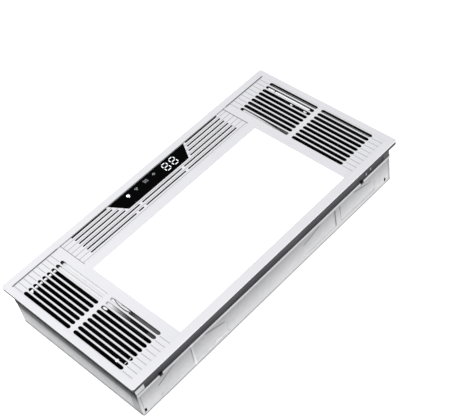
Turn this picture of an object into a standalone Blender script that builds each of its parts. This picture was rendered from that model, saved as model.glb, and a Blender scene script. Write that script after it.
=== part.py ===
# Bathroom ceiling heater for a 600 x 300 mm ceiling module: warm air from the left grille, a fan that
# draws room air out through the right grille, and a flat light between them.
# It lies on its back with its face up: +X along the length, +Y towards the display, +Z out of the face.

import math

import bmesh
import bpy
from mathutils import Matrix, Vector

# Overall size, and the clearances that the whole object shares
FACE_LENGTH = 0.6000
FACE_WIDTH = 0.3000
TOTAL_DEPTH = 0.0900
SEAT_GAP = 0.0003
OVERRUN = 0.0010
WELD = 0.000002

# Galvanised housing
SHEET = 0.0008
END_INSET = 0.0075
SIDE_INSET = 0.0095
HOUSING_CORNER = 0.0030
HEM_HEIGHT = 0.0050
HEM_PROUD = 0.0008
TAB_HEIGHT = 0.0120
TAB_ALONG_SIDE = 0.0170
TAB_ALONG_END = 0.0330
PRESSING_DEPTH = 0.0015
PRESSING_SLOPE = 0.0030
PRESSING_LOW = 0.0065
PRESSING_RISE = 0.0165
PRESSING_BELOW_RIM = 0.0065
PRESSING_SHARES = (0.26, 0.68)
FIRST_PRESSING_FROM_LEFT = 0.0450
FIRST_PRESSING_FROM_MIDDLE = 0.1050
SECOND_PRESSING_FROM_RIGHT = 0.0480
SECOND_PRESSING_FROM_MIDDLE = 0.0710
FIRST_RIB_WIDTH = 0.0040
SECOND_RIB_WIDTH = 0.0120
SECOND_RIB_OFF_MIDDLE = -0.0046
RIB_MARGIN = 0.0030
HANGING_SLOT_WIDTH = 0.0040
HANGING_SLOT_HEIGHT = 0.0080
HANGING_SLOT_FROM_LEFT = 0.0143
HANGING_SLOT_FROM_RIGHT = 0.0235
HANGING_SLOT_LEVEL = 0.0100

# Dark mounting frame between the housing and the front panel
FRAME_WALL = 0.0020
FRAME_SHOWN = 0.0260
FRAME_OVERLAP = 0.0044
FLANGE_THICK = 0.0035
LIP_WIDTH = 0.0027
FRAME_CLIP_FROM_LEFT = 0.0560
FRAME_CLIP_FROM_RIGHT = 0.0820
FRAME_CLIP_WIDTH = 0.0060
FRAME_CLIP_HEIGHT = 0.0045
FRAME_CLIP_THICK = 0.0012
LATCH_PLACES = ((0.0690, 0.0057), (0.0575, 0.0087))
LATCH_SIZE = 0.0034

# White front panel: border, recessed field and the openings in it
PANEL_DEPTH = 0.0042
PANEL_EDGE = 0.0015
PANEL_CORNER = 0.0035
FIELD_RECESS = 0.0015
BORDER_LEFT = 0.0110
BORDER_RIGHT = 0.0110
BORDER_NEAR = 0.0140
BORDER_FAR = 0.0140
LEDGE_WIDTH = 0.0025
LEDGE_RIM = 0.0020
LEDGE_DROP = 0.0021
COVER_OPENING_LEFT = 0.1112
COVER_OPENING_RIGHT = 0.1112
COVER_OPENING_DEPTH = 0.0589
LIGHT_TO_COVER = 0.0177
LIGHT_OPENING_LEFT = 0.1136
LIGHT_OPENING_RIGHT = 0.1136
LIGHT_OPENING_NEAR = 0.0175

# Grille slots and the fine grooves that carry their lines on to the border
SLOT_COUNT = 9
SLOT_WIDTH = 0.0059
SLOT_PITCH = 0.0094
SLOT_FIRST = 0.0166
SLOTS_FROM_NEAR = 0.0379
SLOTS_FROM_FAR = 0.0375
SLOT_BRIDGE = 0.0086
GROOVE_WIDTH = 0.0010
GROOVE_DEPTH = 0.0005
GROOVE_MARGIN = 0.0015
ROUND_STEPS = 7

# Louvred intake cover with its display
COVER_THICK = 0.0020
COVER_SLOT_WIDTH = 0.0030
COVER_SLOT_PITCH = 0.0096
COVER_SLOT_FIRST = 0.0099
COVER_SLOT_ROWS = 5
COVER_SLOT_LEFT = 0.0222
COVER_SLOT_RIGHT = 0.0190
WINDOW_FAR_LEFT = 0.0860
WINDOW_FAR_RIGHT = 0.0889
WINDOW_NEAR_LEFT = 0.0669
WINDOW_NEAR_RIGHT = 0.0705
WINDOW_FROM_OPENING = 0.0270
WINDOW_FAR_MARGIN = 0.0005
WINDOW_PROUD = 0.0003
WINDOW_SURROUND = 0.0056
WINDOW_FLANGE = 0.0016
WINDOW_FLANGE_WIDTH = 0.0020
COVER_BRIDGE = 0.0059
COVER_BRIDGES = (-0.0471, 0.0499)
FIRST_ROW_BRIDGE = -0.0639
COVER_GROOVE_FIRST = 0.0043
BOARD_THICK = 0.0016
BOARD_MARGIN = 0.0020

# Flat light: diffuser, light guide, light strips and their tray
DIFFUSER_THICK = 0.0026
DIFFUSER_CORNER = 0.0015
GUIDE_THICK = 0.0030
TRAY_SHEET = 0.0008
TRAY_DEPTH = 0.0080
TRAY_SIDE_FLANGE = 0.0080
TRAY_HOLE_DEPTH = 0.0016
STRIP_THICK = 0.0012
LIGHT_CHIP = 0.0030
LIGHT_CHIP_COUNT = 12

# Screws: one size of pan head everywhere, but for length
SCREW_HEAD_RADIUS = 0.0030
SCREW_HEAD_HEIGHT = 0.0018
SCREW_RADIUS = 0.0015
SCREW_STEPS = 8

# Warm air unit: two end plates that carry everything
END_PLATE_SHEET = 0.0012
NEAR_PLATE_FROM_EDGE = 0.0620
FAR_PLATE_FROM_EDGE = 0.0338
PLATE_LEFT = 0.0200
PLATE_PAST_FAN = 0.0070
PLATE_DROP = 0.0128
PLATE_FAN_DROP = 0.0168
PLATE_END_DROP = 0.0358
PLATE_SHOULDER = 0.1120
PLATE_FAN_START = 0.1350
PLATE_END_SLOPE = 0.0120
FOOT_WIDTH = 0.0120
DUCT_SHEET = 0.0010
ELBOW_LEFT = 0.0240
ELBOW_RADIUS = 0.0385
ELBOW_END = 0.1070
DUCT_DROP = 0.0138
ELBOW_STEPS = 10
LIP_LEFT = 0.0782
LIP_RADIUS = 0.0060
LIP_STEPS = 4

# Cross-flow fan
FAN_X = 0.1680
FAN_UNDERSIDE = 0.0112
FAN_OVERHEAD = 0.0142
FAN_BLADES = 20
BLADE_THICK = 0.0010
BLADE_DEPTH = 0.0090
BLADE_LEAN = 0.0040
RING_WIDTH = 0.0117
DISC_THICK = 0.0016
FAN_END_GAP = 0.0025
FAN_STEPS = 28
SCROLL_START = 30.0
SCROLL_END = -90.0
SCROLL_CLEARANCE = 0.0028
SCROLL_GROWTH = 0.0055
SCROLL_STEPS = 10
TONGUE_ANGLE = 152.0
SHAFT_RADIUS = 0.0030
HUB_RADIUS = 0.0080
HUB_LENGTH = 0.0100
SHAFT_STEPS = 16

# Fan motor and bearing
MOTOR_UNDER_FAN = 0.0010
MOTOR_LENGTH = 0.0380
MOTOR_FLANGE_OVER_FAN = 0.0060
MOTOR_FLANGE_THICK = 0.0020
MOTOR_BOSS_RADIUS = 0.0090
MOTOR_BOSS_LENGTH = 0.0030
MOTOR_EDGE = 0.0040
MOTOR_BORE_DEPTH = 0.0160
MOTOR_SCREW_INSET = 0.0035
MOTOR_SCREW_ANGLES = (90.0, 210.0, 330.0)
MOTOR_STEPS = 28
BEARING_RADIUS = 0.0080
BEARING_FLANGE = 0.0025
BEARING_LENGTH = 0.0060
BEARING_BORE_DEPTH = 0.0045
BEARING_FLANGE_THICK = 0.0015

# Ceramic heating core
HEATER_LEFT = 0.1090
HEATER_DEPTH = 0.0240
HEATER_BELOW_FAN_TOP = 0.0107
HEATER_CAP = 0.0080
HEATER_ROWS = 3
HEATER_COLUMNS = 18
HEATER_BAR = 0.0030
HEATER_FIN = 0.0010
CUTOUT_RADIUS = 0.0070
CUTOUT_HEIGHT = 0.0060
CUTOUT_PLACE = 0.1500
CUTOUT_STEPS = 16

# White outlet guide under the left grille
GUIDE_LEFT = 0.0217
GUIDE_LEFT_WALL = 0.0026
GUIDE_FROM_FAR = 0.0423
GUIDE_WALL = 0.0016
GUIDE_RIM_WIDTH = 0.0024
GUIDE_TOP_GAP = 0.0012
GUIDE_RING_DEPTH = 0.0030
GUIDE_COVER_LEFT = 0.0795
GUIDE_COVER_RIGHT = 0.1050
GUIDE_COVER_REACH = 0.1232
GUIDE_RAMP_FROM_NEAR = 0.0700
GUIDE_RAMP_DROP = 0.0263
GUIDE_GUSSET = 0.0045
GUIDE_FROM_NEAR = 0.0577
GUIDE_BOSS_RADIUS = 0.0025
GUIDE_BOSS_DEPTH = 0.0060
GUIDE_BOSS_FROM_LEFT = 0.0750
GUIDE_BOSS_FROM_NEAR = 0.1437
GUIDE_TAB = 0.0060
GUIDE_TAB_WIDTH = 0.0025
GUIDE_TAB_THICK = 0.0012
GUIDE_BOSS_STEPS = 14

# Extract fan: scroll, wheel and motor
WHEEL_ROOM = 0.0060
WHEEL_BLADE_DEPTH = 0.0120
WHEEL_BLADES = 24
WHEEL_BLADE_LEAN = 0.0060
WHEEL_BLADE_THICK = 0.0012
WHEEL_LOW = 0.0090
WHEEL_HEADROOM = 0.0061
WHEEL_STEPS = 40
WHEEL_HUB_RADIUS = 0.0080
WHEEL_HUB_HEIGHT = 0.0100
DOME_SHEET = 0.0015
DOME_GAP = 0.0030
DOME_SLOPE = 0.0015
CASING_SIDE_ROOM = 0.0297
CASING_GROWTH = 0.0360
CASING_TO_PARTITION = 0.0099
CASING_CUTOFF = 50.0
CASING_TURN = 320.0
CASING_STEPS = 32
CASING_WALL = 0.0020
CASING_HEADROOM = 0.0025
CASING_FOOT = 0.0100
CASING_FOOT_OUT = 0.0041
CASING_FEET = (-50.0, -225.0)
CASING_COVER = 0.0015
INLET_INSET = 0.0020
INLET_DROP = 0.0050
EXTRACT_MOTOR_BELOW_WHEEL = 0.0200
EXTRACT_FLANGE_SHARE = 0.75
EXTRACT_MOTOR_SHARE = 0.53
EXTRACT_FLANGE_THICK = 0.0020
EXTRACT_BORE_SHARE = 0.52
EXTRACT_SCREW_COUNT = 3

# Outlet collar with its backdraught flap
COLLAR_PROUD = 0.0062
COLLAR_WALL = 0.0020
COLLAR_FLANGE = 0.0050
COLLAR_FLANGE_THICK = 0.0015
COLLAR_SINK = 0.0300
FLAP_THICK = 0.0012
FLAP_GAP = 0.0012
FLAP_PIN_RADIUS = 0.0012
FLAP_BARREL_RADIUS = 0.0024
FLAP_SETBACK = 0.0050
FLAP_STOP = 0.0020
FLAP_STOP_DROP = 0.0030
FLAP_STOP_LENGTH = 0.0200

# Light-coloured pieces under the right grille
INLET_GUIDE_FROM_RIGHT = 0.0995
INLET_GUIDE_WIDTH = 0.0130
INLET_GUIDE_FROM_FAR = 0.0486
INLET_GUIDE_REACH = 0.0760
INLET_GUIDE_SHEET = 0.0016
INLET_GUIDE_DROP = 0.0288
RIB_FROM_RIGHT = 0.0285
RIB_WIDTH = 0.0050
RIB_DEPTH = 0.0040
RIB_FROM_FAR = 0.0410
RIB_LENGTH = 0.0935
RIB_NOTCH = 0.0576
RIB_NOTCH_WIDTH = 0.0030
RIB_NOTCH_DEPTH = 0.0036
RIB_FINGER = 0.0056
RIB_FINGERS = ((0.1328, 0.0042), (0.1014, 0.0024))

# Partition between the two air paths
PARTITION_OFF_MIDDLE = 0.0010
PARTITION_HEADROOM = 0.0019
PARTITION_HOLE_RADIUS = 0.0090
PARTITION_HOLE_FROM_NEAR = 0.0500
PARTITION_HOLE_DROP = 0.0235
GROMMET_WALL = 0.0020
GROMMET_LIP = 0.0020

# Control box, light driver, terminals and cable gland
BOX_TO_PLATE = 0.0060
BOX_TO_FOOT = 0.0070
BOX_FROM_NEAR = 0.0180
BOX_FROM_FAR = 0.1360
BOX_HEIGHT = 0.0320
BOX_WALL = 0.0016
BOX_CORNER = 0.0030
POST_RADIUS = 0.0030
POST_HEIGHT = 0.0050
POST_INSET = 0.0080
BOARD_EDGE = 0.0030
RELAY_COUNT = 3
RELAY_SIZE = (0.0160, 0.0190, 0.0150)
RELAY_PITCH = 0.0240
RELAY_INSET = 0.0050
RELAY_NEAR = 0.0200
RELAY_BASE = 0.0030
CAPACITOR_RADIUS = 0.0060
CAPACITOR_HEIGHT = 0.0160
CAPACITOR_NEAR = 0.0110
CAPACITOR_STEPS = 14
DRIVER_TO_PLATE = 0.0020
DRIVER_SIZE = (0.0340, 0.0700, 0.0220)
DRIVER_FROM_FAR = 0.0600
TERMINAL_TO_FOOT = 0.0020
TERMINAL_SIZE = (0.0320, 0.0220, 0.0160)
TERMINAL_FROM_FAR = 0.0300
TERMINAL_STEP = 0.0060
GLAND_TO_PARTITION = 0.0270
GLAND_BELOW_FRAME = 0.0216
GLAND_RADIUS = 0.0080
GLAND_BORE = 0.0042
GLAND_NUT_RADIUS = 0.0110
GLAND_NUT_DEPTH = 0.0050
GLAND_INSIDE = 0.0120
GLAND_OUTSIDE = 0.0080
GLAND_STEPS = 18
HEXAGON = 6

# Finishes: colour, roughness, metallic
WHITE_PLASTIC = ((0.880, 0.880, 0.905), 0.38, 0.0)
WHITE_GUIDE = ((0.870, 0.870, 0.890), 0.45, 0.0)
DARK_FRAME = ((0.070, 0.070, 0.078), 0.60, 0.0)
BLACK_PLASTIC = ((0.012, 0.012, 0.013), 0.55, 0.0)
BLACK_GLOSS = ((0.008, 0.008, 0.010), 0.08, 0.0)
GALVANISED = ((0.620, 0.625, 0.640), 0.42, 0.9)
ALUMINIUM = ((0.780, 0.780, 0.790), 0.35, 1.0)
BRIGHT_STEEL = ((0.560, 0.560, 0.570), 0.30, 1.0)
MILK_WHITE = ((0.960, 0.965, 0.975), 0.50, 0.0)
CLEAR_GUIDE = ((0.850, 0.900, 0.920), 0.10, 0.0)
BOARD_GREEN = ((0.030, 0.150, 0.070), 0.50, 0.0)
RELAY_BLUE = ((0.030, 0.090, 0.300), 0.40, 0.0)
CERAMIC_GREY = ((0.350, 0.340, 0.330), 0.70, 0.2)
LIGHT_YELLOW = ((0.900, 0.800, 0.350), 0.40, 0.0)
RUBBER = ((0.030, 0.030, 0.032), 0.85, 0.0)
WHEEL_GREY = ((0.200, 0.200, 0.210), 0.50, 0.0)

# Places that follow from the sizes above
LEFT = -FACE_LENGTH / 2
RIGHT = FACE_LENGTH / 2
NEAR = -FACE_WIDTH / 2
FAR = FACE_WIDTH / 2
PANEL_UNDER = TOTAL_DEPTH - PANEL_DEPTH
FIELD_TOP = TOTAL_DEPTH - FIELD_RECESS
FLANGE_TOP = PANEL_UNDER - SEAT_GAP
FLANGE_UNDER = FLANGE_TOP - FLANGE_THICK
HOUSING_DEPTH = FLANGE_UNDER - FRAME_SHOWN
HOUSING_X = RIGHT - END_INSET
HOUSING_Y = FAR - SIDE_INSET
INNER_X = HOUSING_X - SHEET
INNER_Y = HOUSING_Y - SHEET
FLOOR = SHEET + SEAT_GAP
PRESSING_HIGH = HOUSING_DEPTH - PRESSING_BELOW_RIM
FRAME_LOW = HOUSING_DEPTH - FRAME_OVERLAP
SKIRT_X = INNER_X - SEAT_GAP
SKIRT_Y = INNER_Y - SEAT_GAP
SKIRT_INSIDE = SKIRT_Y - FRAME_WALL - SEAT_GAP
LEDGE_LOW = PANEL_UNDER - LEDGE_DROP
LEDGE_SEAT = PANEL_UNDER + SEAT_GAP / 2
TRAY_LOW = LEDGE_LOW - SEAT_GAP - TRAY_DEPTH
COVER_NEAR = FAR - BORDER_FAR - COVER_OPENING_DEPTH
WINDOW_NEAR = COVER_NEAR + WINDOW_FROM_OPENING

# The warm air unit hangs between the housing's floor and the light's tray
FAN_RADIUS = (TRAY_LOW - FAN_OVERHEAD - FAN_UNDERSIDE) / 2
FAN_LEVEL = FAN_UNDERSIDE + FAN_RADIUS
FAN_CENTRE_X = LEFT + FAN_X
NEAR_PLATE = NEAR + NEAR_PLATE_FROM_EDGE
FAR_PLATE = FAR - FAR_PLATE_FROM_EDGE
PLATE_RIGHT = FAN_CENTRE_X + FAN_RADIUS + PLATE_PAST_FAN
PLATE_HIGH = PANEL_UNDER - PLATE_DROP
PLATE_FAN_HIGH = PANEL_UNDER - PLATE_FAN_DROP
DUCT_NEAR = NEAR_PLATE + END_PLATE_SHEET + SEAT_GAP
DUCT_FAR = FAR_PLATE - END_PLATE_SHEET - SEAT_GAP
DUCT_FLOOR = FAN_UNDERSIDE - SCROLL_CLEARANCE - SCROLL_GROWTH
DUCT_TOP = PANEL_UNDER - DUCT_DROP
HEATER_HIGH = FAN_LEVEL + FAN_RADIUS - HEATER_BELOW_FAN_TOP
MOTOR_RADIUS = FAN_RADIUS - MOTOR_UNDER_FAN
MOTOR_FLANGE_RADIUS = FAN_RADIUS + MOTOR_FLANGE_OVER_FAN
MOTOR_SCREW_RADIUS = MOTOR_FLANGE_RADIUS - MOTOR_SCREW_INSET

# The extract unit fills the width of the housing, to the right of the partition
PARTITION_X = PARTITION_OFF_MIDDLE
PARTITION_HIGH = TRAY_LOW - PARTITION_HEADROOM
PARTITION_HOLE_LEVEL = PARTITION_HIGH - PARTITION_HOLE_DROP
PARTITION_FOOT = PARTITION_X - FOOT_WIDTH
SCROLL_TOP = FRAME_LOW - CASING_HEADROOM
CASING_FAR = INNER_Y - CASING_SIDE_ROOM
CASING_NEAR = CASING_FAR - CASING_GROWTH
WHEEL_RADIUS = CASING_NEAR - WHEEL_ROOM
WHEEL_BLADE_INNER = WHEEL_RADIUS - WHEEL_BLADE_DEPTH
WHEEL_HIGH = SCROLL_TOP - WHEEL_HEADROOM
INLET_RADIUS = WHEEL_BLADE_INNER - INLET_INSET
EXTRACT_FLANGE_RADIUS = WHEEL_BLADE_INNER * EXTRACT_FLANGE_SHARE
EXTRACT_MOTOR_RADIUS = WHEEL_BLADE_INNER * EXTRACT_MOTOR_SHARE
EXTRACT_MOTOR_HEIGHT = WHEEL_HIGH - EXTRACT_MOTOR_BELOW_WHEEL
EXTRACT_BORE_DEPTH = EXTRACT_MOTOR_HEIGHT * EXTRACT_BORE_SHARE
EXTRACT_SCREW_RADIUS = (EXTRACT_FLANGE_RADIUS + EXTRACT_MOTOR_RADIUS) / 2
GLAND_X = PARTITION_X - GLAND_TO_PARTITION
GLAND_LEVEL = FRAME_LOW - GLAND_BELOW_FRAME


def casing_radius(angle):
    """The radius of the extract casing's spiral at an angle in degrees, which falls from its cut-off."""
    return CASING_NEAR + CASING_GROWTH * (CASING_CUTOFF - angle) / CASING_TURN


WHEEL_X = PARTITION_X + END_PLATE_SHEET + CASING_TO_PARTITION + casing_radius(-180.0)
WHEEL_Y = (NEAR + FAR) / 2


def clear_scene():
    """Remove whatever the start-up file holds."""
    for obj in list(bpy.data.objects):
        bpy.data.objects.remove(obj, do_unlink=True)


def new_collection(name):
    """A collection linked to the scene."""
    collection = bpy.data.collections.new(name)
    bpy.context.scene.collection.children.link(collection)
    return collection


clear_scene()
PARTS = new_collection("bathroom_ceiling_heater")
CUTTERS = new_collection("cutters")


def paint(obj, finish):
    """Give a part its own plain material."""
    colour, roughness, metallic = finish
    material = bpy.data.materials.new(obj.name)
    material.use_nodes = True
    shader = material.node_tree.nodes["Principled BSDF"]
    shader.inputs["Base Color"].default_value = (*colour, 1.0)
    shader.inputs["Roughness"].default_value = roughness
    shader.inputs["Metallic"].default_value = metallic
    obj.data.materials.clear()
    obj.data.materials.append(material)


def object_of(name, bm):
    """Turn a finished bmesh into an object that waits among the cutters."""
    mesh = bpy.data.meshes.new(name)
    bmesh.ops.recalc_face_normals(bm, faces=bm.faces)
    bm.to_mesh(mesh)
    bm.free()
    obj = bpy.data.objects.new(name, mesh)
    CUTTERS.objects.link(obj)
    obj.hide_render = True
    obj.display_type = "WIRE"
    return obj


def part(obj, finish, smooth_angle=None):
    """Move a finished shape from the cutters to the parts and paint it."""
    CUTTERS.objects.unlink(obj)
    PARTS.objects.link(obj)
    obj.hide_render = False
    obj.display_type = "TEXTURED"
    paint(obj, finish)
    if smooth_angle is not None:
        obj.data.shade_smooth()
        obj.data.set_sharp_from_angle(angle=math.radians(smooth_angle))
    return obj


def block(name, low, high):
    """A box between two corners, from a cube."""
    bm = bmesh.new()
    low, high = Vector(low), Vector(high)
    centre = (low + high) / 2
    bmesh.ops.create_cube(bm, size=1.0, matrix=Matrix.LocRotScale(centre, None, high - low))
    return object_of(name, bm)


def blocks(name, corners):
    """Several separate boxes in one object."""
    bm = bmesh.new()
    for low, high in corners:
        low, high = Vector(low), Vector(high)
        centre = (low + high) / 2
        bmesh.ops.create_cube(bm, size=1.0, matrix=Matrix.LocRotScale(centre, None, high - low))
    return object_of(name, bm)


def rods(name, centres, radius, length, axis="Z", steps=12):
    """Separate cylinders of one size, each centred at its point and lying along one axis."""
    turn = {"X": Matrix.Rotation(math.pi / 2, 4, "Y"), "Y": Matrix.Rotation(math.pi / 2, 4, "X"),
            "Z": Matrix()}
    bm = bmesh.new()
    for centre in centres:
        bmesh.ops.create_cone(
            bm, cap_ends=True, segments=steps, radius1=radius, radius2=radius, depth=length,
            matrix=Matrix.Translation(centre) @ turn[axis])
    return object_of(name, bm)


def prism(name, loops, low, high, axis="Z"):
    """A flat outline, holes included, extruded along an axis: a 2D curve made into a mesh.

    The outline's two coordinates are X and Y for axis Z, X and Z for axis Y, and Y and Z for axis X.
    """
    curve = bpy.data.curves.new(name, "CURVE")
    curve.dimensions = "2D"
    curve.fill_mode = "BOTH"
    curve.extrude = (high - low) / 2
    for loop in loops:
        spline = curve.splines.new("POLY")
        spline.points.add(len(loop) - 1)
        for point, (across, up) in zip(spline.points, loop):
            point.co = (across, up, 0.0, 1.0)
        spline.use_cyclic_u = True
    holder = bpy.data.objects.new(name, curve)
    CUTTERS.objects.link(holder)
    graph = bpy.context.evaluated_depsgraph_get()
    mesh = bpy.data.meshes.new_from_object(holder.evaluated_get(graph))
    bpy.data.objects.remove(holder, do_unlink=True)
    bm = bmesh.new()
    bm.from_mesh(mesh)
    bpy.data.meshes.remove(mesh)
    middle = (low + high) / 2
    for vertex in bm.verts:
        across, up, along = vertex.co
        along += middle
        vertex.co = {"X": (along, across, up), "Y": (across, along, up), "Z": (across, up, along)}[axis]
    bmesh.ops.remove_doubles(bm, verts=bm.verts, dist=WELD)
    return object_of(name, bm)


def turned(name, profile, steps):
    """A turned shape about Z: the profile runs down its outer side, closed if it starts off the axis."""
    on_axis = profile[0][0] == 0
    bm = bmesh.new()
    points = [bm.verts.new((radius, 0.0, height)) for radius, height in profile]
    for first, second in zip(points, points[1:]):
        bm.edges.new((first, second))
    if not on_axis:
        bm.edges.new((points[-1], points[0]))
    mesh = bpy.data.meshes.new(name)
    bm.to_mesh(mesh)
    bm.free()
    obj = bpy.data.objects.new(name, mesh)
    CUTTERS.objects.link(obj)
    obj.hide_render = True
    obj.display_type = "WIRE"
    screw = obj.modifiers.new("turn", "SCREW")
    screw.steps = steps
    screw.render_steps = steps
    screw.use_merge_vertices = True
    screw.merge_threshold = WELD
    screw.use_smooth_shade = True
    return obj


def baked(obj):
    """The object with its modifiers applied and its place written into its mesh."""
    graph = bpy.context.evaluated_depsgraph_get()
    mesh = bpy.data.meshes.new_from_object(obj.evaluated_get(graph))
    mesh.transform(obj.matrix_world)
    obj.modifiers.clear()
    obj.data = mesh
    obj.matrix_world = Matrix()
    return obj


def cut(target, cutter):
    """Take one shape away from another."""
    boolean = target.modifiers.new("cut", "BOOLEAN")
    boolean.operation = "DIFFERENCE"
    boolean.object = cutter
    return target


def join(target, other):
    """Fuse one shape to another."""
    boolean = target.modifiers.new("join", "BOOLEAN")
    boolean.operation = "UNION"
    boolean.object = other
    return target


def merged(name, objects):
    """Several separate shapes in one object, for a Boolean to join to another."""
    bm = bmesh.new()
    for obj in objects:
        baked(obj)
        bm.from_mesh(obj.data)
        bpy.data.objects.remove(obj, do_unlink=True)
    return object_of(name, bm)


def copies(obj, name, finish, places, smooth_angle=None):
    """One part for each place, all with the first one's mesh."""
    baked(obj)
    for number, place in enumerate(places, 1):
        if number > 1:
            obj = bpy.data.objects.new(name, first.data)
            PARTS.objects.link(obj)
        else:
            first = part(obj, finish, smooth_angle)
        obj.name = f"{name}_{number}"
        obj.matrix_world = place
    return first


def hang_on(obj, pivot):
    """Put a moving part's origin on its joint's axis."""
    pivot = Vector(pivot)
    obj.data.transform(Matrix.Translation(-pivot))
    obj.location = pivot
    return obj


def turn_about_y(obj, centre):
    """Lay a shape that was turned about Z along +Y, with its foot at a centre."""
    obj.rotation_euler = (-math.pi / 2, 0.0, 0.0)
    obj.location = centre
    bpy.context.view_layer.update()
    return obj


def rectangle(left, near, right, far):
    """The four corners of an outline."""
    return [(left, near), (right, near), (right, far), (left, far)]


def rounded(left, near, right, far, radius, steps=ROUND_STEPS):
    """A rectangle with round corners."""
    centres = ((right - radius, far - radius, 0), (left + radius, far - radius, 1),
               (left + radius, near + radius, 2), (right - radius, near + radius, 3))
    points = []
    for x, y, quarter in centres:
        for step in range(steps + 1):
            angle = math.pi / 2 * (quarter + step / steps)
            points.append((x + radius * math.cos(angle), y + radius * math.sin(angle)))
    return points


def stadium(x, low, high, width, steps=ROUND_STEPS):
    """A slot with round ends that runs along Y."""
    radius = width / 2
    points = []
    for centre, start in ((high - radius, 0.0), (low + radius, math.pi)):
        for step in range(steps + 1):
            angle = start + math.pi * step / steps
            points.append((x + radius * math.cos(angle), centre + radius * math.sin(angle)))
    return points


def arc(centre, radius, start, end, steps):
    """Points along an arc, in degrees, both ends included."""
    points = []
    for step in range(steps + 1):
        angle = math.radians(start + (end - start) * step / steps)
        points.append((centre[0] + radius * math.cos(angle), centre[1] + radius * math.sin(angle)))
    return points


def thickened(path, thickness):
    """A closed outline round an open path: the path and its copy set off to its left."""
    offset = []
    for index, point in enumerate(path):
        before = Vector(path[max(index - 1, 0)])
        after = Vector(path[min(index + 1, len(path) - 1)])
        along = (after - before).normalized()
        offset.append((point[0] - along.y * thickness, point[1] + along.x * thickness))
    return list(path) + offset[::-1]


def screw(name, length):
    """A pan-head screw along +Z: its head lies under the origin and its shank runs up from it."""
    profile = [(0.0, length), (SCREW_RADIUS, length), (SCREW_RADIUS, 0.0), (SCREW_HEAD_RADIUS, 0.0),
               (SCREW_HEAD_RADIUS, -SCREW_HEAD_HEIGHT), (0.0, -SCREW_HEAD_HEIGHT)]
    return turned(name, profile, SCREW_STEPS)


def pressing_outline(span, grow):
    """The outline of a wall pressing: straight feet under two sloping shoulders."""
    left, right = span[0] - grow, span[1] + grow
    length = right - left
    low, high = PRESSING_LOW - grow, PRESSING_HIGH + grow
    shoulder = PRESSING_HIGH - PRESSING_RISE
    first, second = PRESSING_SHARES
    return [(left, low), (right, low), (right, shoulder), (left + second * length, high),
            (left + first * length, high), (left, shoulder)]


def pressing_body(name, span, grow, outer, inner):
    """A pressing as a solid that narrows from the wall's outer side to its inner side, on the near wall."""
    body = prism(name, [pressing_outline(span, grow)], outer, inner, "Y")
    middle = (outer + inner) / 2
    centre_x = (span[0] + span[1]) / 2
    centre_z = (PRESSING_LOW + PRESSING_HIGH) / 2
    share_x = 1 - 2 * PRESSING_SLOPE / (span[1] - span[0])
    share_z = 1 - 2 * PRESSING_SLOPE / (PRESSING_HIGH - PRESSING_LOW)
    for vertex in body.data.vertices:
        if vertex.co.y > middle:
            vertex.co.x = centre_x + (vertex.co.x - centre_x) * share_x
            vertex.co.z = centre_z + (vertex.co.z - centre_z) * share_z
    return body


def both_long_walls(obj):
    """A feature of the near long wall, repeated on the far wall by half a turn about Z."""
    other = obj.data.copy()
    other.transform(Matrix.Rotation(math.pi, 4, "Z"))
    bm = bmesh.new()
    bm.from_mesh(obj.data)
    bm.from_mesh(other)
    name = obj.name
    bpy.data.objects.remove(obj, do_unlink=True)
    return object_of(name, bm)


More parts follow.
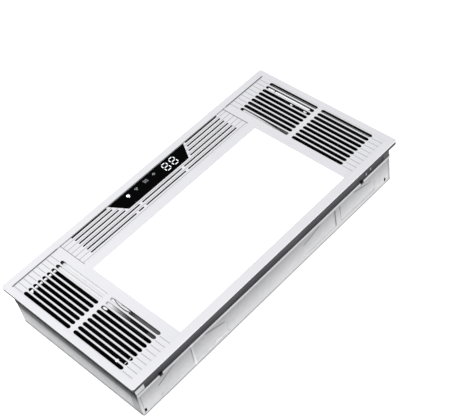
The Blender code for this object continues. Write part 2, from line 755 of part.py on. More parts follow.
def housing():
    """Folded galvanised box: pressed long walls, hemmed rim, corner tabs, outlet and cable holes."""
    top = HOUSING_DEPTH + TAB_HEIGHT
    body = prism("housing", [rounded(-HOUSING_X, -HOUSING_Y, HOUSING_X, HOUSING_Y, HOUSING_CORNER)], 0.0, top)
    hem = prism("hem", [rounded(-HOUSING_X - HEM_PROUD, -HOUSING_Y - HEM_PROUD, HOUSING_X + HEM_PROUD,
                                HOUSING_Y + HEM_PROUD, HOUSING_CORNER + HEM_PROUD)],
                HOUSING_DEPTH - HEM_HEIGHT, HOUSING_DEPTH)
    inside = prism("housing_inside", [rounded(-INNER_X, -INNER_Y, INNER_X, INNER_Y, HOUSING_CORNER - SHEET)],
                   SHEET, top + OVERRUN)
    join(body, hem)
    cut(body, inside)
    side_x, end_y = HOUSING_X - TAB_ALONG_SIDE, HOUSING_Y - TAB_ALONG_END
    cut(body, blocks("tab_gaps", [((-side_x, NEAR, HOUSING_DEPTH), (side_x, FAR, top + OVERRUN))]))
    cut(body, blocks("tab_gaps_ends", [((LEFT, -end_y, HOUSING_DEPTH), (RIGHT, end_y, top + OVERRUN))]))
    wall = -HOUSING_Y
    first = (LEFT + FIRST_PRESSING_FROM_LEFT, -FIRST_PRESSING_FROM_MIDDLE)
    second = (SECOND_PRESSING_FROM_MIDDLE, RIGHT - SECOND_PRESSING_FROM_RIGHT)
    pressings = ((first, FIRST_RIB_WIDTH, 0.0), (second, SECOND_RIB_WIDTH, SECOND_RIB_OFF_MIDDLE))
    for number, (span, rib, off_middle) in enumerate(pressings):
        bulge = pressing_body(f"bulge_{number}", span, SHEET, wall + SHEET / 2, wall + PRESSING_DEPTH + SHEET)
        recess = pressing_body(f"recess_{number}", span, 0.0, wall - OVERRUN, wall + PRESSING_DEPTH)
        middle = (span[0] + span[1]) / 2 + off_middle
        rib_block = block(f"rib_{number}", (middle - rib / 2, wall, PRESSING_LOW + RIB_MARGIN),
                          (middle + rib / 2, wall + PRESSING_DEPTH + SHEET / 2, PRESSING_HIGH + SHEET / 2))
        join(body, both_long_walls(bulge))
        cut(body, both_long_walls(recess))
        join(body, both_long_walls(rib_block))
    slots = []
    for x in (LEFT + HANGING_SLOT_FROM_LEFT, RIGHT - HANGING_SLOT_FROM_RIGHT):
        slots.append(((x - HANGING_SLOT_WIDTH / 2, -FAR, HANGING_SLOT_LEVEL - HANGING_SLOT_HEIGHT / 2),
                      (x + HANGING_SLOT_WIDTH / 2, FAR, HANGING_SLOT_LEVEL + HANGING_SLOT_HEIGHT / 2)))
    cut(body, blocks("hanging_slots", slots))
    near, far = outlet_span()
    cut(body, block("outlet_hole", (INNER_X - OVERRUN, near - SEAT_GAP, FLOOR + COLLAR_FLANGE - SEAT_GAP),
                    (HOUSING_X + OVERRUN, far + SEAT_GAP, SCROLL_TOP - COLLAR_FLANGE + SEAT_GAP)))
    cut(body, rods("gland_hole", [(GLAND_X, HOUSING_Y, GLAND_LEVEL)], GLAND_RADIUS + SEAT_GAP,
                   (SHEET + OVERRUN) * 2, "Y", SHAFT_STEPS))
    return part(body, GALVANISED)


def outlet_span():
    """The near and far limits of the outlet collar's outside, along Y."""
    near, far = scroll_outlet()
    return near + COLLAR_FLANGE, far - COLLAR_FLANGE


def scroll_outlet():
    """The near and far limits of the extract scroll's outlet, outside its walls."""
    near = WHEEL_Y + CASING_NEAR * math.sin(math.radians(CASING_CUTOFF))
    return near, WHEEL_Y + CASING_FAR


def mounting_frame():
    """Dark moulded frame: a skirt inside the housing's rim, a flange under the panel and a lip round it."""
    lip_top = TOTAL_DEPTH - PANEL_EDGE - SEAT_GAP
    wall, edge, lip = FRAME_WALL, SEAT_GAP, LIP_WIDTH
    frame = prism("mounting_frame", [
        rounded(LEFT + edge, NEAR + edge, RIGHT - edge, FAR - edge, PANEL_CORNER),
        rounded(-SKIRT_X + wall, -SKIRT_Y + wall, SKIRT_X - wall, SKIRT_Y - wall, HOUSING_CORNER - wall)],
        FRAME_LOW, lip_top)
    outside = prism("frame_outside", [
        rectangle(LEFT - OVERRUN, NEAR - OVERRUN, RIGHT + OVERRUN, FAR + OVERRUN),
        rounded(-SKIRT_X, -SKIRT_Y, SKIRT_X, SKIRT_Y, HOUSING_CORNER - SHEET)],
        FRAME_LOW - OVERRUN, FLANGE_UNDER)
    seat_outline = rounded(LEFT + lip, NEAR + lip, RIGHT - lip, FAR - lip, PANEL_CORNER - lip / 2)
    seat = prism("frame_seat", [seat_outline], FLANGE_TOP, lip_top + OVERRUN)
    cut(frame, outside)
    cut(frame, seat)
    return part(frame, DARK_FRAME)


def frame_clips():
    """Four black clips over the housing's hem, two on each long side."""
    outer = -HOUSING_Y - HEM_PROUD - SEAT_GAP
    half, thick = FRAME_CLIP_WIDTH / 2, FRAME_CLIP_THICK
    low = HOUSING_DEPTH + SEAT_GAP
    front = block("frame_clip", (-half, outer - thick, HOUSING_DEPTH - FRAME_CLIP_HEIGHT + thick),
                  (half, outer, low + thick))
    hook = block("clip_hook", (-half, outer - thick / 2, low), (half, -SKIRT_Y - SEAT_GAP, low + thick))
    places = (LEFT + FRAME_CLIP_FROM_LEFT, RIGHT - FRAME_CLIP_FROM_RIGHT)
    near = [Matrix.Translation((x, 0.0, 0.0)) for x in places]
    turn = Matrix.Rotation(math.pi, 4, "Z")
    copies(join(front, hook), "frame_clip", BLACK_PLASTIC, near + [turn @ place for place in near])


def panel_latches():
    """Two small bright catches on the near side of the frame's skirt."""
    outer = -SKIRT_Y - SEAT_GAP
    half = LATCH_SIZE / 2
    latch = block("panel_latch", (-half, outer - SHEET, -half), (half, outer, LATCH_SIZE))
    places = [Matrix.Translation((RIGHT - place, 0.0, HOUSING_DEPTH + rise)) for place, rise in LATCH_PLACES]
    copies(latch, "panel_latch", BRIGHT_STEEL, places)


def slot_ends():
    """The near and far limits of the two rows of grille slots, which a bar parts."""
    middle = (NEAR + FAR) / 2
    return ((NEAR + SLOTS_FROM_NEAR, middle - SLOT_BRIDGE / 2),
            (middle + SLOT_BRIDGE / 2, FAR - SLOTS_FROM_FAR))


def slot_columns():
    """Every grille slot as (x, low, high), left grille first."""
    slots = []
    for number in range(SLOT_COUNT):
        reach = SLOT_FIRST + number * SLOT_PITCH
        for x in (LEFT + reach, RIGHT - reach):
            for low, high in slot_ends():
                slots.append((x, low, high))
    return slots


def groove_boxes():
    """Fine grooves that carry the left edges of the slots on to the border."""
    corners = []
    ends = ((NEAR + BORDER_NEAR + GROOVE_MARGIN, NEAR + SLOTS_FROM_NEAR - GROOVE_MARGIN),
            (FAR - SLOTS_FROM_FAR + GROOVE_MARGIN, FAR - BORDER_FAR - GROOVE_MARGIN))
    for number in range(SLOT_COUNT):
        reach = SLOT_FIRST + number * SLOT_PITCH
        for middle in (LEFT + reach, RIGHT - reach):
            x = middle - SLOT_WIDTH / 2
            for low, high in ends:
                corners.append(((x, low, FIELD_TOP - GROOVE_DEPTH),
                                (x + GROOVE_WIDTH, high, FIELD_TOP + OVERRUN)))
    return corners


def cover_opening(grow=0.0):
    """The louvred cover's opening as left, near, right, far."""
    return (LEFT + COVER_OPENING_LEFT - grow, COVER_NEAR - grow,
            RIGHT - COVER_OPENING_RIGHT + grow, FAR - BORDER_FAR + grow)


def light_opening(grow=0.0):
    """The light's opening as left, near, right, far."""
    return (LEFT + LIGHT_OPENING_LEFT - grow, NEAR + LIGHT_OPENING_NEAR - grow,
            RIGHT - LIGHT_OPENING_RIGHT + grow, COVER_NEAR - LIGHT_TO_COVER + grow)


def light_ledge():
    """The outside of the ledge under the light's opening, wide at the two short sides for screws."""
    left, near, right, far = light_opening(LEDGE_RIM)
    more = TRAY_SIDE_FLANGE - LEDGE_RIM
    return left - more, near, right + more, far


def front_panel():
    """White moulded panel: raised border, two slotted grilles, openings for the cover and the light."""
    panel = prism("front_panel", [rounded(LEFT, NEAR, RIGHT, FAR, PANEL_CORNER)], PANEL_UNDER, TOTAL_DEPTH)
    field = prism("field", [rectangle(LEFT + BORDER_LEFT, NEAR + BORDER_NEAR, RIGHT - BORDER_RIGHT,
                                      FAR - BORDER_FAR)], FIELD_TOP, TOTAL_DEPTH + OVERRUN)
    lip = LIP_WIDTH + SEAT_GAP
    rebate = prism("rebate", [
        rectangle(LEFT - OVERRUN, NEAR - OVERRUN, RIGHT + OVERRUN, FAR + OVERRUN),
        rounded(LEFT + lip, NEAR + lip, RIGHT - lip, FAR - lip, PANEL_CORNER - LIP_WIDTH / 2)],
        PANEL_UNDER - OVERRUN, TOTAL_DEPTH - PANEL_EDGE)
    ledges = [[rectangle(*light_ledge()), rectangle(*light_opening(-LEDGE_WIDTH))]]
    left, near, right, far = cover_opening(LEDGE_RIM)
    wide = LEDGE_RIM + LEDGE_WIDTH
    ledges.append([[(left, near), (right, near), (right, SKIRT_INSIDE), (right - wide, SKIRT_INSIDE),
                    (right - wide, near + wide), (left + wide, near + wide), (left + wide, SKIRT_INSIDE),
                    (left, SKIRT_INSIDE)]])
    cut(panel, field)
    cut(panel, rebate)
    openings = [rectangle(*light_opening()), rectangle(*cover_opening())]
    cut(panel, prism("openings", openings, PANEL_UNDER - OVERRUN, TOTAL_DEPTH + OVERRUN))
    for number, loops in enumerate(ledges):
        join(panel, prism(f"ledge_{number}", loops, LEDGE_LOW, LEDGE_SEAT))
    slots = [stadium(x, low, high, SLOT_WIDTH) for x, low, high in slot_columns()]
    cut(panel, prism("slots", slots, PANEL_UNDER - OVERRUN, TOTAL_DEPTH + OVERRUN))
    cut(panel, blocks("grooves", groove_boxes()))
    holes = [(x, y, LEDGE_LOW) for x, y in tray_screw_places()]
    cut(panel, rods("tray_holes", holes, SCREW_RADIUS + SEAT_GAP, TRAY_HOLE_DEPTH * 2, "Z", SCREW_STEPS))
    return part(panel, WHITE_PLASTIC)


def window_outline(grow=0.0, far=None):
    """The display window's outline, wider at its far edge, grown sideways and nearward by a margin."""
    far = cover_opening(-SEAT_GAP)[3] - WINDOW_FAR_MARGIN if far is None else far
    near = WINDOW_NEAR - grow
    return [(-WINDOW_NEAR_LEFT - grow, near), (WINDOW_NEAR_RIGHT + grow, near),
            (WINDOW_FAR_RIGHT + grow, far), (-WINDOW_FAR_LEFT - grow, far)]


def window_stops(y):
    """Where the cover's slots stop at either side of the window, on a line along X at this Y."""
    depth = cover_opening(-SEAT_GAP)[3] - WINDOW_NEAR
    share = (y - WINDOW_NEAR) / depth
    left = WINDOW_NEAR_LEFT + (WINDOW_FAR_LEFT - WINDOW_NEAR_LEFT) * share
    right = WINDOW_NEAR_RIGHT + (WINDOW_FAR_RIGHT - WINDOW_NEAR_RIGHT) * share
    return -left - WINDOW_SURROUND, right + WINDOW_SURROUND


def intake_cover():
    """White louvred cover: rows of thin slots that stop short of the display window."""
    left, near, right, far = cover_opening(-SEAT_GAP)
    low = LEDGE_SEAT + SEAT_GAP
    cover = prism("intake_cover", [rectangle(left, near, right, far)], low, low + COVER_THICK)
    window = window_outline(SEAT_GAP, far - WINDOW_FAR_MARGIN + SEAT_GAP)
    far_row = far - COVER_SLOT_WIDTH
    slot_left, slot_right = left + COVER_SLOT_LEFT, right - COVER_SLOT_RIGHT
    loops = []
    for row in range(COVER_SLOT_ROWS):
        middle = COVER_NEAR + COVER_SLOT_FIRST + row * COVER_SLOT_PITCH
        low_y, high_y = middle - COVER_SLOT_WIDTH / 2, middle + COVER_SLOT_WIDTH / 2
        bridges = (FIRST_ROW_BRIDGE, *COVER_BRIDGES) if row == 0 else COVER_BRIDGES
        stops = [bridge + side * COVER_BRIDGE / 2 for bridge in bridges for side in (-1, 1)]
        if middle > WINDOW_NEAR - WINDOW_SURROUND:
            stops = window_stops(middle)
        edges = [slot_left, *stops, slot_right]
        for start, end in zip(edges[::2], edges[1::2]):
            loops.append(rectangle(start, low_y, end, high_y))
    cover_top = low + COVER_THICK
    notch_left, notch_right = window_stops(far_row)
    loops.append(rectangle(slot_left, far_row, notch_left, far + OVERRUN))
    loops.append(rectangle(notch_right, far_row, slot_right, far + OVERRUN))
    cut(cover, prism("cover_slots", loops, low - OVERRUN, cover_top + OVERRUN))
    cut(cover, prism("window_hole", [window], low - OVERRUN, cover_top + OVERRUN))
    grooves = []
    for row in range(COVER_SLOT_ROWS + 1):
        y = COVER_NEAR + COVER_GROOVE_FIRST + row * COVER_SLOT_PITCH - GROOVE_WIDTH / 2
        grooves.append(((left - OVERRUN, y, cover_top - GROOVE_DEPTH),
                        (right + OVERRUN, y + GROOVE_WIDTH, cover_top + OVERRUN)))
    cut(cover, blocks("cover_grooves", grooves))
    return part(cover, WHITE_PLASTIC)


def display_window():
    """Glossy black window that fills the cover's trapezoid, with a flange behind the cover."""
    low = LEDGE_SEAT + SEAT_GAP
    window = prism("display_window", [window_outline()], PANEL_UNDER, low + COVER_THICK + WINDOW_PROUD)
    flange = prism("window_flange", [window_outline(WINDOW_FLANGE_WIDTH, cover_opening(-SEAT_GAP)[3])],
                   low - SEAT_GAP - WINDOW_FLANGE, low - SEAT_GAP)
    return part(join(window, flange), BLACK_GLOSS)


def display_board():
    """Small circuit board against the back of the display window."""
    top = LEDGE_SEAT - WINDOW_FLANGE - SEAT_GAP
    far = cover_opening(-SEAT_GAP)[3] - BOARD_MARGIN
    board = prism("display_board", [rectangle(-WINDOW_NEAR_LEFT, WINDOW_NEAR, WINDOW_NEAR_RIGHT, far)],
                  top - BOARD_THICK, top)
    return part(board, BOARD_GREEN)


def light_diffuser():
    """Milky panel that drops into the light's opening and rests on its ledge."""
    left, near, right, far = light_opening(-SEAT_GAP)
    low = LEDGE_SEAT + SEAT_GAP
    return part(prism("light_diffuser", [rounded(left, near, right, far, DIFFUSER_CORNER)], low,
                      low + DIFFUSER_THICK), MILK_WHITE)


def tray_inside():
    """The light tray's inside as left, near, right, far."""
    return light_opening(-LEDGE_WIDTH)


def tray_screw_places():
    """One screw at the middle of each short side of the light tray."""
    left, near, right, far = light_opening((TRAY_SIDE_FLANGE + SCREW_RADIUS) / 2)
    return [(left, (near + far) / 2), (right, (near + far) / 2)]


def light_tray():
    """Folded tray behind the light, with a flange screwed under the panel's ledge."""
    left, near, right, far = tray_inside()
    low, top = TRAY_LOW, LEDGE_LOW - SEAT_GAP
    sheet = TRAY_SHEET
    tray = prism("light_tray", [rectangle(left - sheet, near - sheet, right + sheet, far + sheet)], low, top)
    flange = prism("tray_flange", [rectangle(*light_ledge())], top - sheet, top)
    join(tray, flange)
    cut(tray, prism("tray_inside", [rectangle(left, near, right, far)], low + sheet, top + OVERRUN))
    holes = [(x, y, top) for x, y in tray_screw_places()]
    cut(tray, rods("flange_holes", holes, SCREW_RADIUS + SEAT_GAP, (sheet + OVERRUN) * 2, "Z", SCREW_STEPS))
    return part(tray, ALUMINIUM)


def tray_screws():
    """Two screws that hold the light tray to the panel."""
    level = LEDGE_LOW - SEAT_GAP * 2 - TRAY_SHEET
    length = TRAY_SHEET + SEAT_GAP * 2 + LEDGE_DROP / 2
    places = [Matrix.Translation((x, y, level)) for x, y in tray_screw_places()]
    copies(screw("tray_screw", length), "tray_screw", BRIGHT_STEEL, places, 40)


def light_guide():
    """Clear sheet in the tray that spreads the light of the strips."""
    left, near, right, far = tray_inside()
    low = TRAY_LOW + TRAY_SHEET + SEAT_GAP
    margin = STRIP_THICK + LIGHT_CHIP / 2 + SEAT_GAP * 3
    sheet = rectangle(left + SEAT_GAP, near + margin, right - SEAT_GAP, far - margin)
    return part(prism("light_guide", [sheet], low, low + GUIDE_THICK), CLEAR_GUIDE)


def light_strip(name, side):
    """A strip of light chips on edge along one long wall of the tray; side is -1 near, 1 far."""
    left, near, right, far = tray_inside()
    wall = near + SEAT_GAP if side < 0 else far - SEAT_GAP
    low = TRAY_LOW + TRAY_SHEET + SEAT_GAP
    high = low + TRAY_DEPTH - TRAY_SHEET - SEAT_GAP * 2
    inner = wall - side * STRIP_THICK
    strip = block(name, (left + SEAT_GAP, min(wall, inner), low), (right - SEAT_GAP, max(wall, inner), high))
    chips = []
    for number in range(LIGHT_CHIP_COUNT):
        x = left + (right - left) * (number + 1 / 2) / LIGHT_CHIP_COUNT
        outer, tip = inner + side * STRIP_THICK / 2, inner - side * LIGHT_CHIP / 2
        chips.append(((x - LIGHT_CHIP / 2, min(outer, tip), low + GUIDE_THICK / 4),
                      (x + LIGHT_CHIP / 2, max(outer, tip), low + GUIDE_THICK)))
    return part(join(strip, blocks(name + "_chips", chips)), LIGHT_YELLOW)


def end_plate(name, face, outward, holes):
    """Sheet end plate of the warm air unit, with a foot turned outward; outward is -1 near, 1 far."""
    left, right = LEFT + PLATE_LEFT, PLATE_RIGHT
    outline = [(left, FLOOR), (right, FLOOR), (right, PANEL_UNDER - PLATE_END_DROP),
               (right - PLATE_END_SLOPE, PLATE_FAN_HIGH), (LEFT + PLATE_FAN_START, PLATE_FAN_HIGH),
               (LEFT + PLATE_SHOULDER, PLATE_HIGH), (left, PLATE_HIGH)]
    inner = face - outward * END_PLATE_SHEET
    plate = prism(name, [outline], min(face, inner), max(face, inner), "Y")
    reach = face + outward * FOOT_WIDTH
    start = face - outward * END_PLATE_SHEET / 2
    foot = block(name + "_foot", (left, min(start, reach), FLOOR),
                 (right, max(start, reach), FLOOR + END_PLATE_SHEET))
    join(plate, foot)
    for number, (x, level, radius) in enumerate(holes):
        cut(plate, rods(f"{name}_hole_{number}", [(x, face, level)], radius, (END_PLATE_SHEET + OVERRUN) * 2,
                        "Y", SHAFT_STEPS))
    return part(plate, BLACK_PLASTIC)


def near_end_plate():
    """End plate that carries the fan motor."""
    holes = [(FAN_CENTRE_X, FAN_LEVEL, MOTOR_BOSS_RADIUS + SEAT_GAP)]
    holes += [(x, z, SCREW_RADIUS + SEAT_GAP) for x, z in motor_screw_places()]
    return end_plate("near_end_plate", NEAR_PLATE, -1, holes)


def far_end_plate():
    """End plate that carries the fan's bearing."""
    return end_plate("far_end_plate", FAR_PLATE, 1, [(FAN_CENTRE_X, FAN_LEVEL, BEARING_RADIUS + SEAT_GAP)])


def outlet_elbow():
    """Curved black sheet that turns the warm air up to the left grille."""
    left = LEFT + ELBOW_LEFT
    centre = (left + ELBOW_RADIUS, DUCT_FLOOR + ELBOW_RADIUS)
    path = [(LEFT + ELBOW_END, DUCT_FLOOR)]
    path += arc(centre, ELBOW_RADIUS, 270.0, 180.0, ELBOW_STEPS)
    path.append((left, DUCT_TOP))
    return part(prism("outlet_elbow", [thickened(path, DUCT_SHEET)], DUCT_NEAR, DUCT_FAR, "Y"), BLACK_PLASTIC)


def outlet_lip():
    """Curved black sheet over the heater, opposite the elbow."""
    left = LEFT + LIP_LEFT
    low = HEATER_HIGH + SEAT_GAP
    centre = (left + LIP_RADIUS, low + LIP_RADIUS)
    right = LEFT + HEATER_LEFT + HEATER_DEPTH
    path = [(right, low)] + arc(centre, LIP_RADIUS, 270.0, 180.0, LIP_STEPS) + [(left, DUCT_TOP)]
    return part(prism("outlet_lip", [thickened(path, -DUCT_SHEET)], DUCT_NEAR, DUCT_FAR, "Y"), BLACK_PLASTIC)


def scroll_path():
    """The cross-flow scroll's inner line: flat from the heater, then a spiral round the fan."""
    centre = (FAN_CENTRE_X, FAN_LEVEL)
    path = []
    for step in range(SCROLL_STEPS + 1):
        share = step / SCROLL_STEPS
        angle = math.radians(SCROLL_END + (SCROLL_START - SCROLL_END) * share)
        radius = FAN_RADIUS + SCROLL_CLEARANCE + SCROLL_GROWTH * (1 - share)
        path.append((centre[0] + radius * math.cos(angle), centre[1] + radius * math.sin(angle)))
    return [(LEFT + ELBOW_END + SEAT_GAP, path[0][1])] + path


def fan_scroll():
    """Black sheet under and behind the cross-flow fan."""
    return part(prism("fan_scroll", [thickened(scroll_path(), -DUCT_SHEET)], DUCT_NEAR, DUCT_FAR, "Y"),
                BLACK_PLASTIC)


def fan_tongue():
    """Black strip that parts the fan's outlet from its inlet."""
    start = LEFT + HEATER_LEFT + HEATER_DEPTH + SEAT_GAP
    angle = math.radians(TONGUE_ANGLE)
    radius = FAN_RADIUS + SCROLL_CLEARANCE + DUCT_SHEET
    tip = (FAN_CENTRE_X + radius * math.cos(angle), FAN_LEVEL + radius * math.sin(angle))
    low = HEATER_HIGH + SEAT_GAP
    path = [(start, low), (tip[0] - DUCT_SHEET, low), tip,
            (tip[0] + DUCT_SHEET * 2, PLATE_FAN_HIGH - DUCT_SHEET)]
    return part(prism("fan_tongue", [thickened(path, DUCT_SHEET)], DUCT_NEAR, DUCT_FAR, "Y"), BLACK_PLASTIC)


def fan_blade(angle, inner, outer, lean, thick, centre):
    """The outline of one curved fan blade, leaning forward."""
    middle = (inner + outer) / 2
    path = []
    for radius, turn in ((inner, 0.0), (middle, lean / 3), (outer, lean)):
        at = angle + turn / outer
        path.append((centre[0] + radius * math.cos(at), centre[1] + radius * math.sin(at)))
    return thickened(path, thick)


def heater_fan():
    """Cross-flow fan: a long drum of curved blades between discs, with a hub and an end pin."""
    start, end = DUCT_NEAR + FAN_END_GAP, DUCT_FAR - FAN_END_GAP
    centre = (FAN_CENTRE_X, FAN_LEVEL)
    tip = FAN_RADIUS - BLADE_THICK
    loops = []
    for number in range(FAN_BLADES):
        angle = 2 * math.pi * number / FAN_BLADES
        loops.append(fan_blade(angle, FAN_RADIUS - BLADE_DEPTH, tip, BLADE_LEAN, BLADE_THICK, centre))
    blades = prism("blades", loops, start + DISC_THICK / 2, end - DISC_THICK / 2, "Y")
    middle = (start + end) / 2
    bore = SHAFT_RADIUS + SEAT_GAP
    near_disc = [(bore, HUB_LENGTH), (HUB_RADIUS, HUB_LENGTH), (HUB_RADIUS, DISC_THICK),
                 (FAN_RADIUS, DISC_THICK), (FAN_RADIUS, 0.0), (bore, 0.0)]
    ring = [(FAN_RADIUS - RING_WIDTH, DISC_THICK), (FAN_RADIUS, DISC_THICK), (FAN_RADIUS, 0.0),
            (FAN_RADIUS - RING_WIDTH, 0.0)]
    pin_end = FAR_PLATE - end + BEARING_BORE_DEPTH - SEAT_GAP
    far_disc = [(0.0, pin_end), (SHAFT_RADIUS, pin_end), (SHAFT_RADIUS, 0.0), (FAN_RADIUS, 0.0),
                (FAN_RADIUS, -DISC_THICK), (0.0, -DISC_THICK)]
    discs = [turn_about_y(turned("near_disc", near_disc, FAN_STEPS), (centre[0], start, centre[1])),
             turn_about_y(turned("ring", ring, FAN_STEPS), (centre[0], middle, centre[1])),
             turn_about_y(turned("far_disc", far_disc, FAN_STEPS), (centre[0], end, centre[1]))]
    fan = join(blades, merged("discs", discs))
    fan = baked(fan)
    fan.name = "heater_fan"
    return part(hang_on(fan, (centre[0], middle, centre[1])), WHEEL_GREY)


def motor_screw_places():
    """The fan motor's screws in the X-Z plane."""
    places = []
    for angle in MOTOR_SCREW_ANGLES:
        turn = math.radians(angle)
        places.append((FAN_CENTRE_X + MOTOR_SCREW_RADIUS * math.cos(turn),
                       FAN_LEVEL + MOTOR_SCREW_RADIUS * math.sin(turn)))
    return places


def heater_motor():
    """Fan motor: a drawn steel can with a flange against the near end plate and a blind shaft bore."""
    bore = SHAFT_RADIUS + SEAT_GAP
    profile = [(0.0, -MOTOR_BORE_DEPTH), (bore, -MOTOR_BORE_DEPTH), (bore, MOTOR_BOSS_LENGTH),
               (MOTOR_BOSS_RADIUS, MOTOR_BOSS_LENGTH), (MOTOR_BOSS_RADIUS, 0.0), (MOTOR_FLANGE_RADIUS, 0.0),
               (MOTOR_FLANGE_RADIUS, -MOTOR_FLANGE_THICK), (MOTOR_RADIUS, -MOTOR_FLANGE_THICK),
               (MOTOR_RADIUS, -MOTOR_LENGTH + MOTOR_EDGE), (MOTOR_RADIUS - MOTOR_EDGE, -MOTOR_LENGTH),
               (0.0, -MOTOR_LENGTH)]
    front = NEAR_PLATE - SEAT_GAP
    motor = turn_about_y(turned("heater_motor", profile, MOTOR_STEPS), (FAN_CENTRE_X, front, FAN_LEVEL))
    motor = baked(motor)
    holes = [(x, front, z) for x, z in motor_screw_places()]
    cut(motor, rods("motor_flange_holes", holes, SCREW_RADIUS + SEAT_GAP, (MOTOR_FLANGE_THICK + OVERRUN) * 2,
                    "Y", SCREW_STEPS))
    return part(motor, GALVANISED, 40)


def motor_screws():
    """Three screws through the motor's flange into the near end plate."""
    start = NEAR_PLATE - SEAT_GAP * 2 - MOTOR_FLANGE_THICK
    length = MOTOR_FLANGE_THICK + SEAT_GAP * 2 + END_PLATE_SHEET
    turn = Matrix.Rotation(-math.pi / 2, 4, "X")
    places = [Matrix.Translation((x, start, z)) @ turn for x, z in motor_screw_places()]
    copies(screw("motor_screw", length), "motor_screw", BRIGHT_STEEL, places, 40)


def heater_shaft():
    """Steel shaft from the motor's bore into the fan's hub; it turns with the fan."""
    front = NEAR_PLATE - SEAT_GAP
    start = front - MOTOR_BORE_DEPTH + SEAT_GAP
    end = DUCT_NEAR + FAN_END_GAP + HUB_LENGTH - SEAT_GAP
    middle = (start + end) / 2
    shaft = rods("heater_shaft", [(FAN_CENTRE_X, middle, FAN_LEVEL)], SHAFT_RADIUS, end - start, "Y",
                 SHAFT_STEPS)
    return part(hang_on(shaft, (FAN_CENTRE_X, middle, FAN_LEVEL)), BRIGHT_STEEL, 40)


def fan_bearing():
    """Rubber-mounted bearing in the far end plate that takes the fan's end pin."""
    bore = SHAFT_RADIUS + SEAT_GAP
    rim = SEAT_GAP + BEARING_FLANGE_THICK
    inner = -END_PLATE_SHEET - SEAT_GAP
    profile = [(0.0, BEARING_LENGTH), (BEARING_RADIUS, BEARING_LENGTH), (BEARING_RADIUS, rim),
               (BEARING_RADIUS + BEARING_FLANGE, rim), (BEARING_RADIUS + BEARING_FLANGE, SEAT_GAP),
               (BEARING_RADIUS, SEAT_GAP), (BEARING_RADIUS, inner), (bore, inner), (bore, BEARING_BORE_DEPTH),
               (0.0, BEARING_BORE_DEPTH)]
    bearing = turned("fan_bearing", profile, SHAFT_STEPS)
    return part(baked(turn_about_y(bearing, (FAN_CENTRE_X, FAR_PLATE, FAN_LEVEL))), RUBBER, 40)


def heater_rows():
    """The heating core's near and far ends and its levels."""
    near, far = DUCT_NEAR + HEATER_CAP + SEAT_GAP, DUCT_FAR - HEATER_CAP - SEAT_GAP
    return near, far, DUCT_FLOOR + SEAT_GAP, HEATER_HIGH


def heating_core():
    """Ceramic heating core: three rows of aluminium fins between bars, open for the air along X."""
    near, far, low, high = heater_rows()
    row = (high - low - HEATER_BAR) / HEATER_ROWS
    cell = (far - near - HEATER_BAR) / HEATER_COLUMNS
    loops = [rectangle(near, low, far, high)]
    for level in range(HEATER_ROWS):
        for number in range(HEATER_COLUMNS):
            y, z = near + HEATER_BAR + number * cell, low + HEATER_BAR + level * row
            loops.append(rectangle(y, z, y + cell - HEATER_FIN * 2, z + row - HEATER_BAR))
    left = LEFT + HEATER_LEFT
    return part(prism("heating_core", loops, left, left + HEATER_DEPTH, "X"), ALUMINIUM)


def heater_caps():
    """Heat-proof end caps that hold the heating core between the end plates."""
    near, far, low, high = heater_rows()
    left, right = LEFT + HEATER_LEFT, LEFT + HEATER_LEFT + HEATER_DEPTH
    part(block("heater_cap_near", (left, DUCT_NEAR, low), (right, near - SEAT_GAP, high)), CERAMIC_GREY)
    part(block("heater_cap_far", (left, far + SEAT_GAP, low), (right, DUCT_FAR, high)), CERAMIC_GREY)


def thermal_cutout():
    """Round thermal cut-out on the sheet above the heating core."""
    x = LEFT + HEATER_LEFT + HEATER_DEPTH / 2
    low = HEATER_HIGH + SEAT_GAP * 2 + DUCT_SHEET
    can = rods("thermal_cutout", [(x, NEAR + CUTOUT_PLACE, low + CUTOUT_HEIGHT / 2)], CUTOUT_RADIUS,
               CUTOUT_HEIGHT, "Z", CUTOUT_STEPS)
    return part(can, BLACK_PLASTIC, 40)


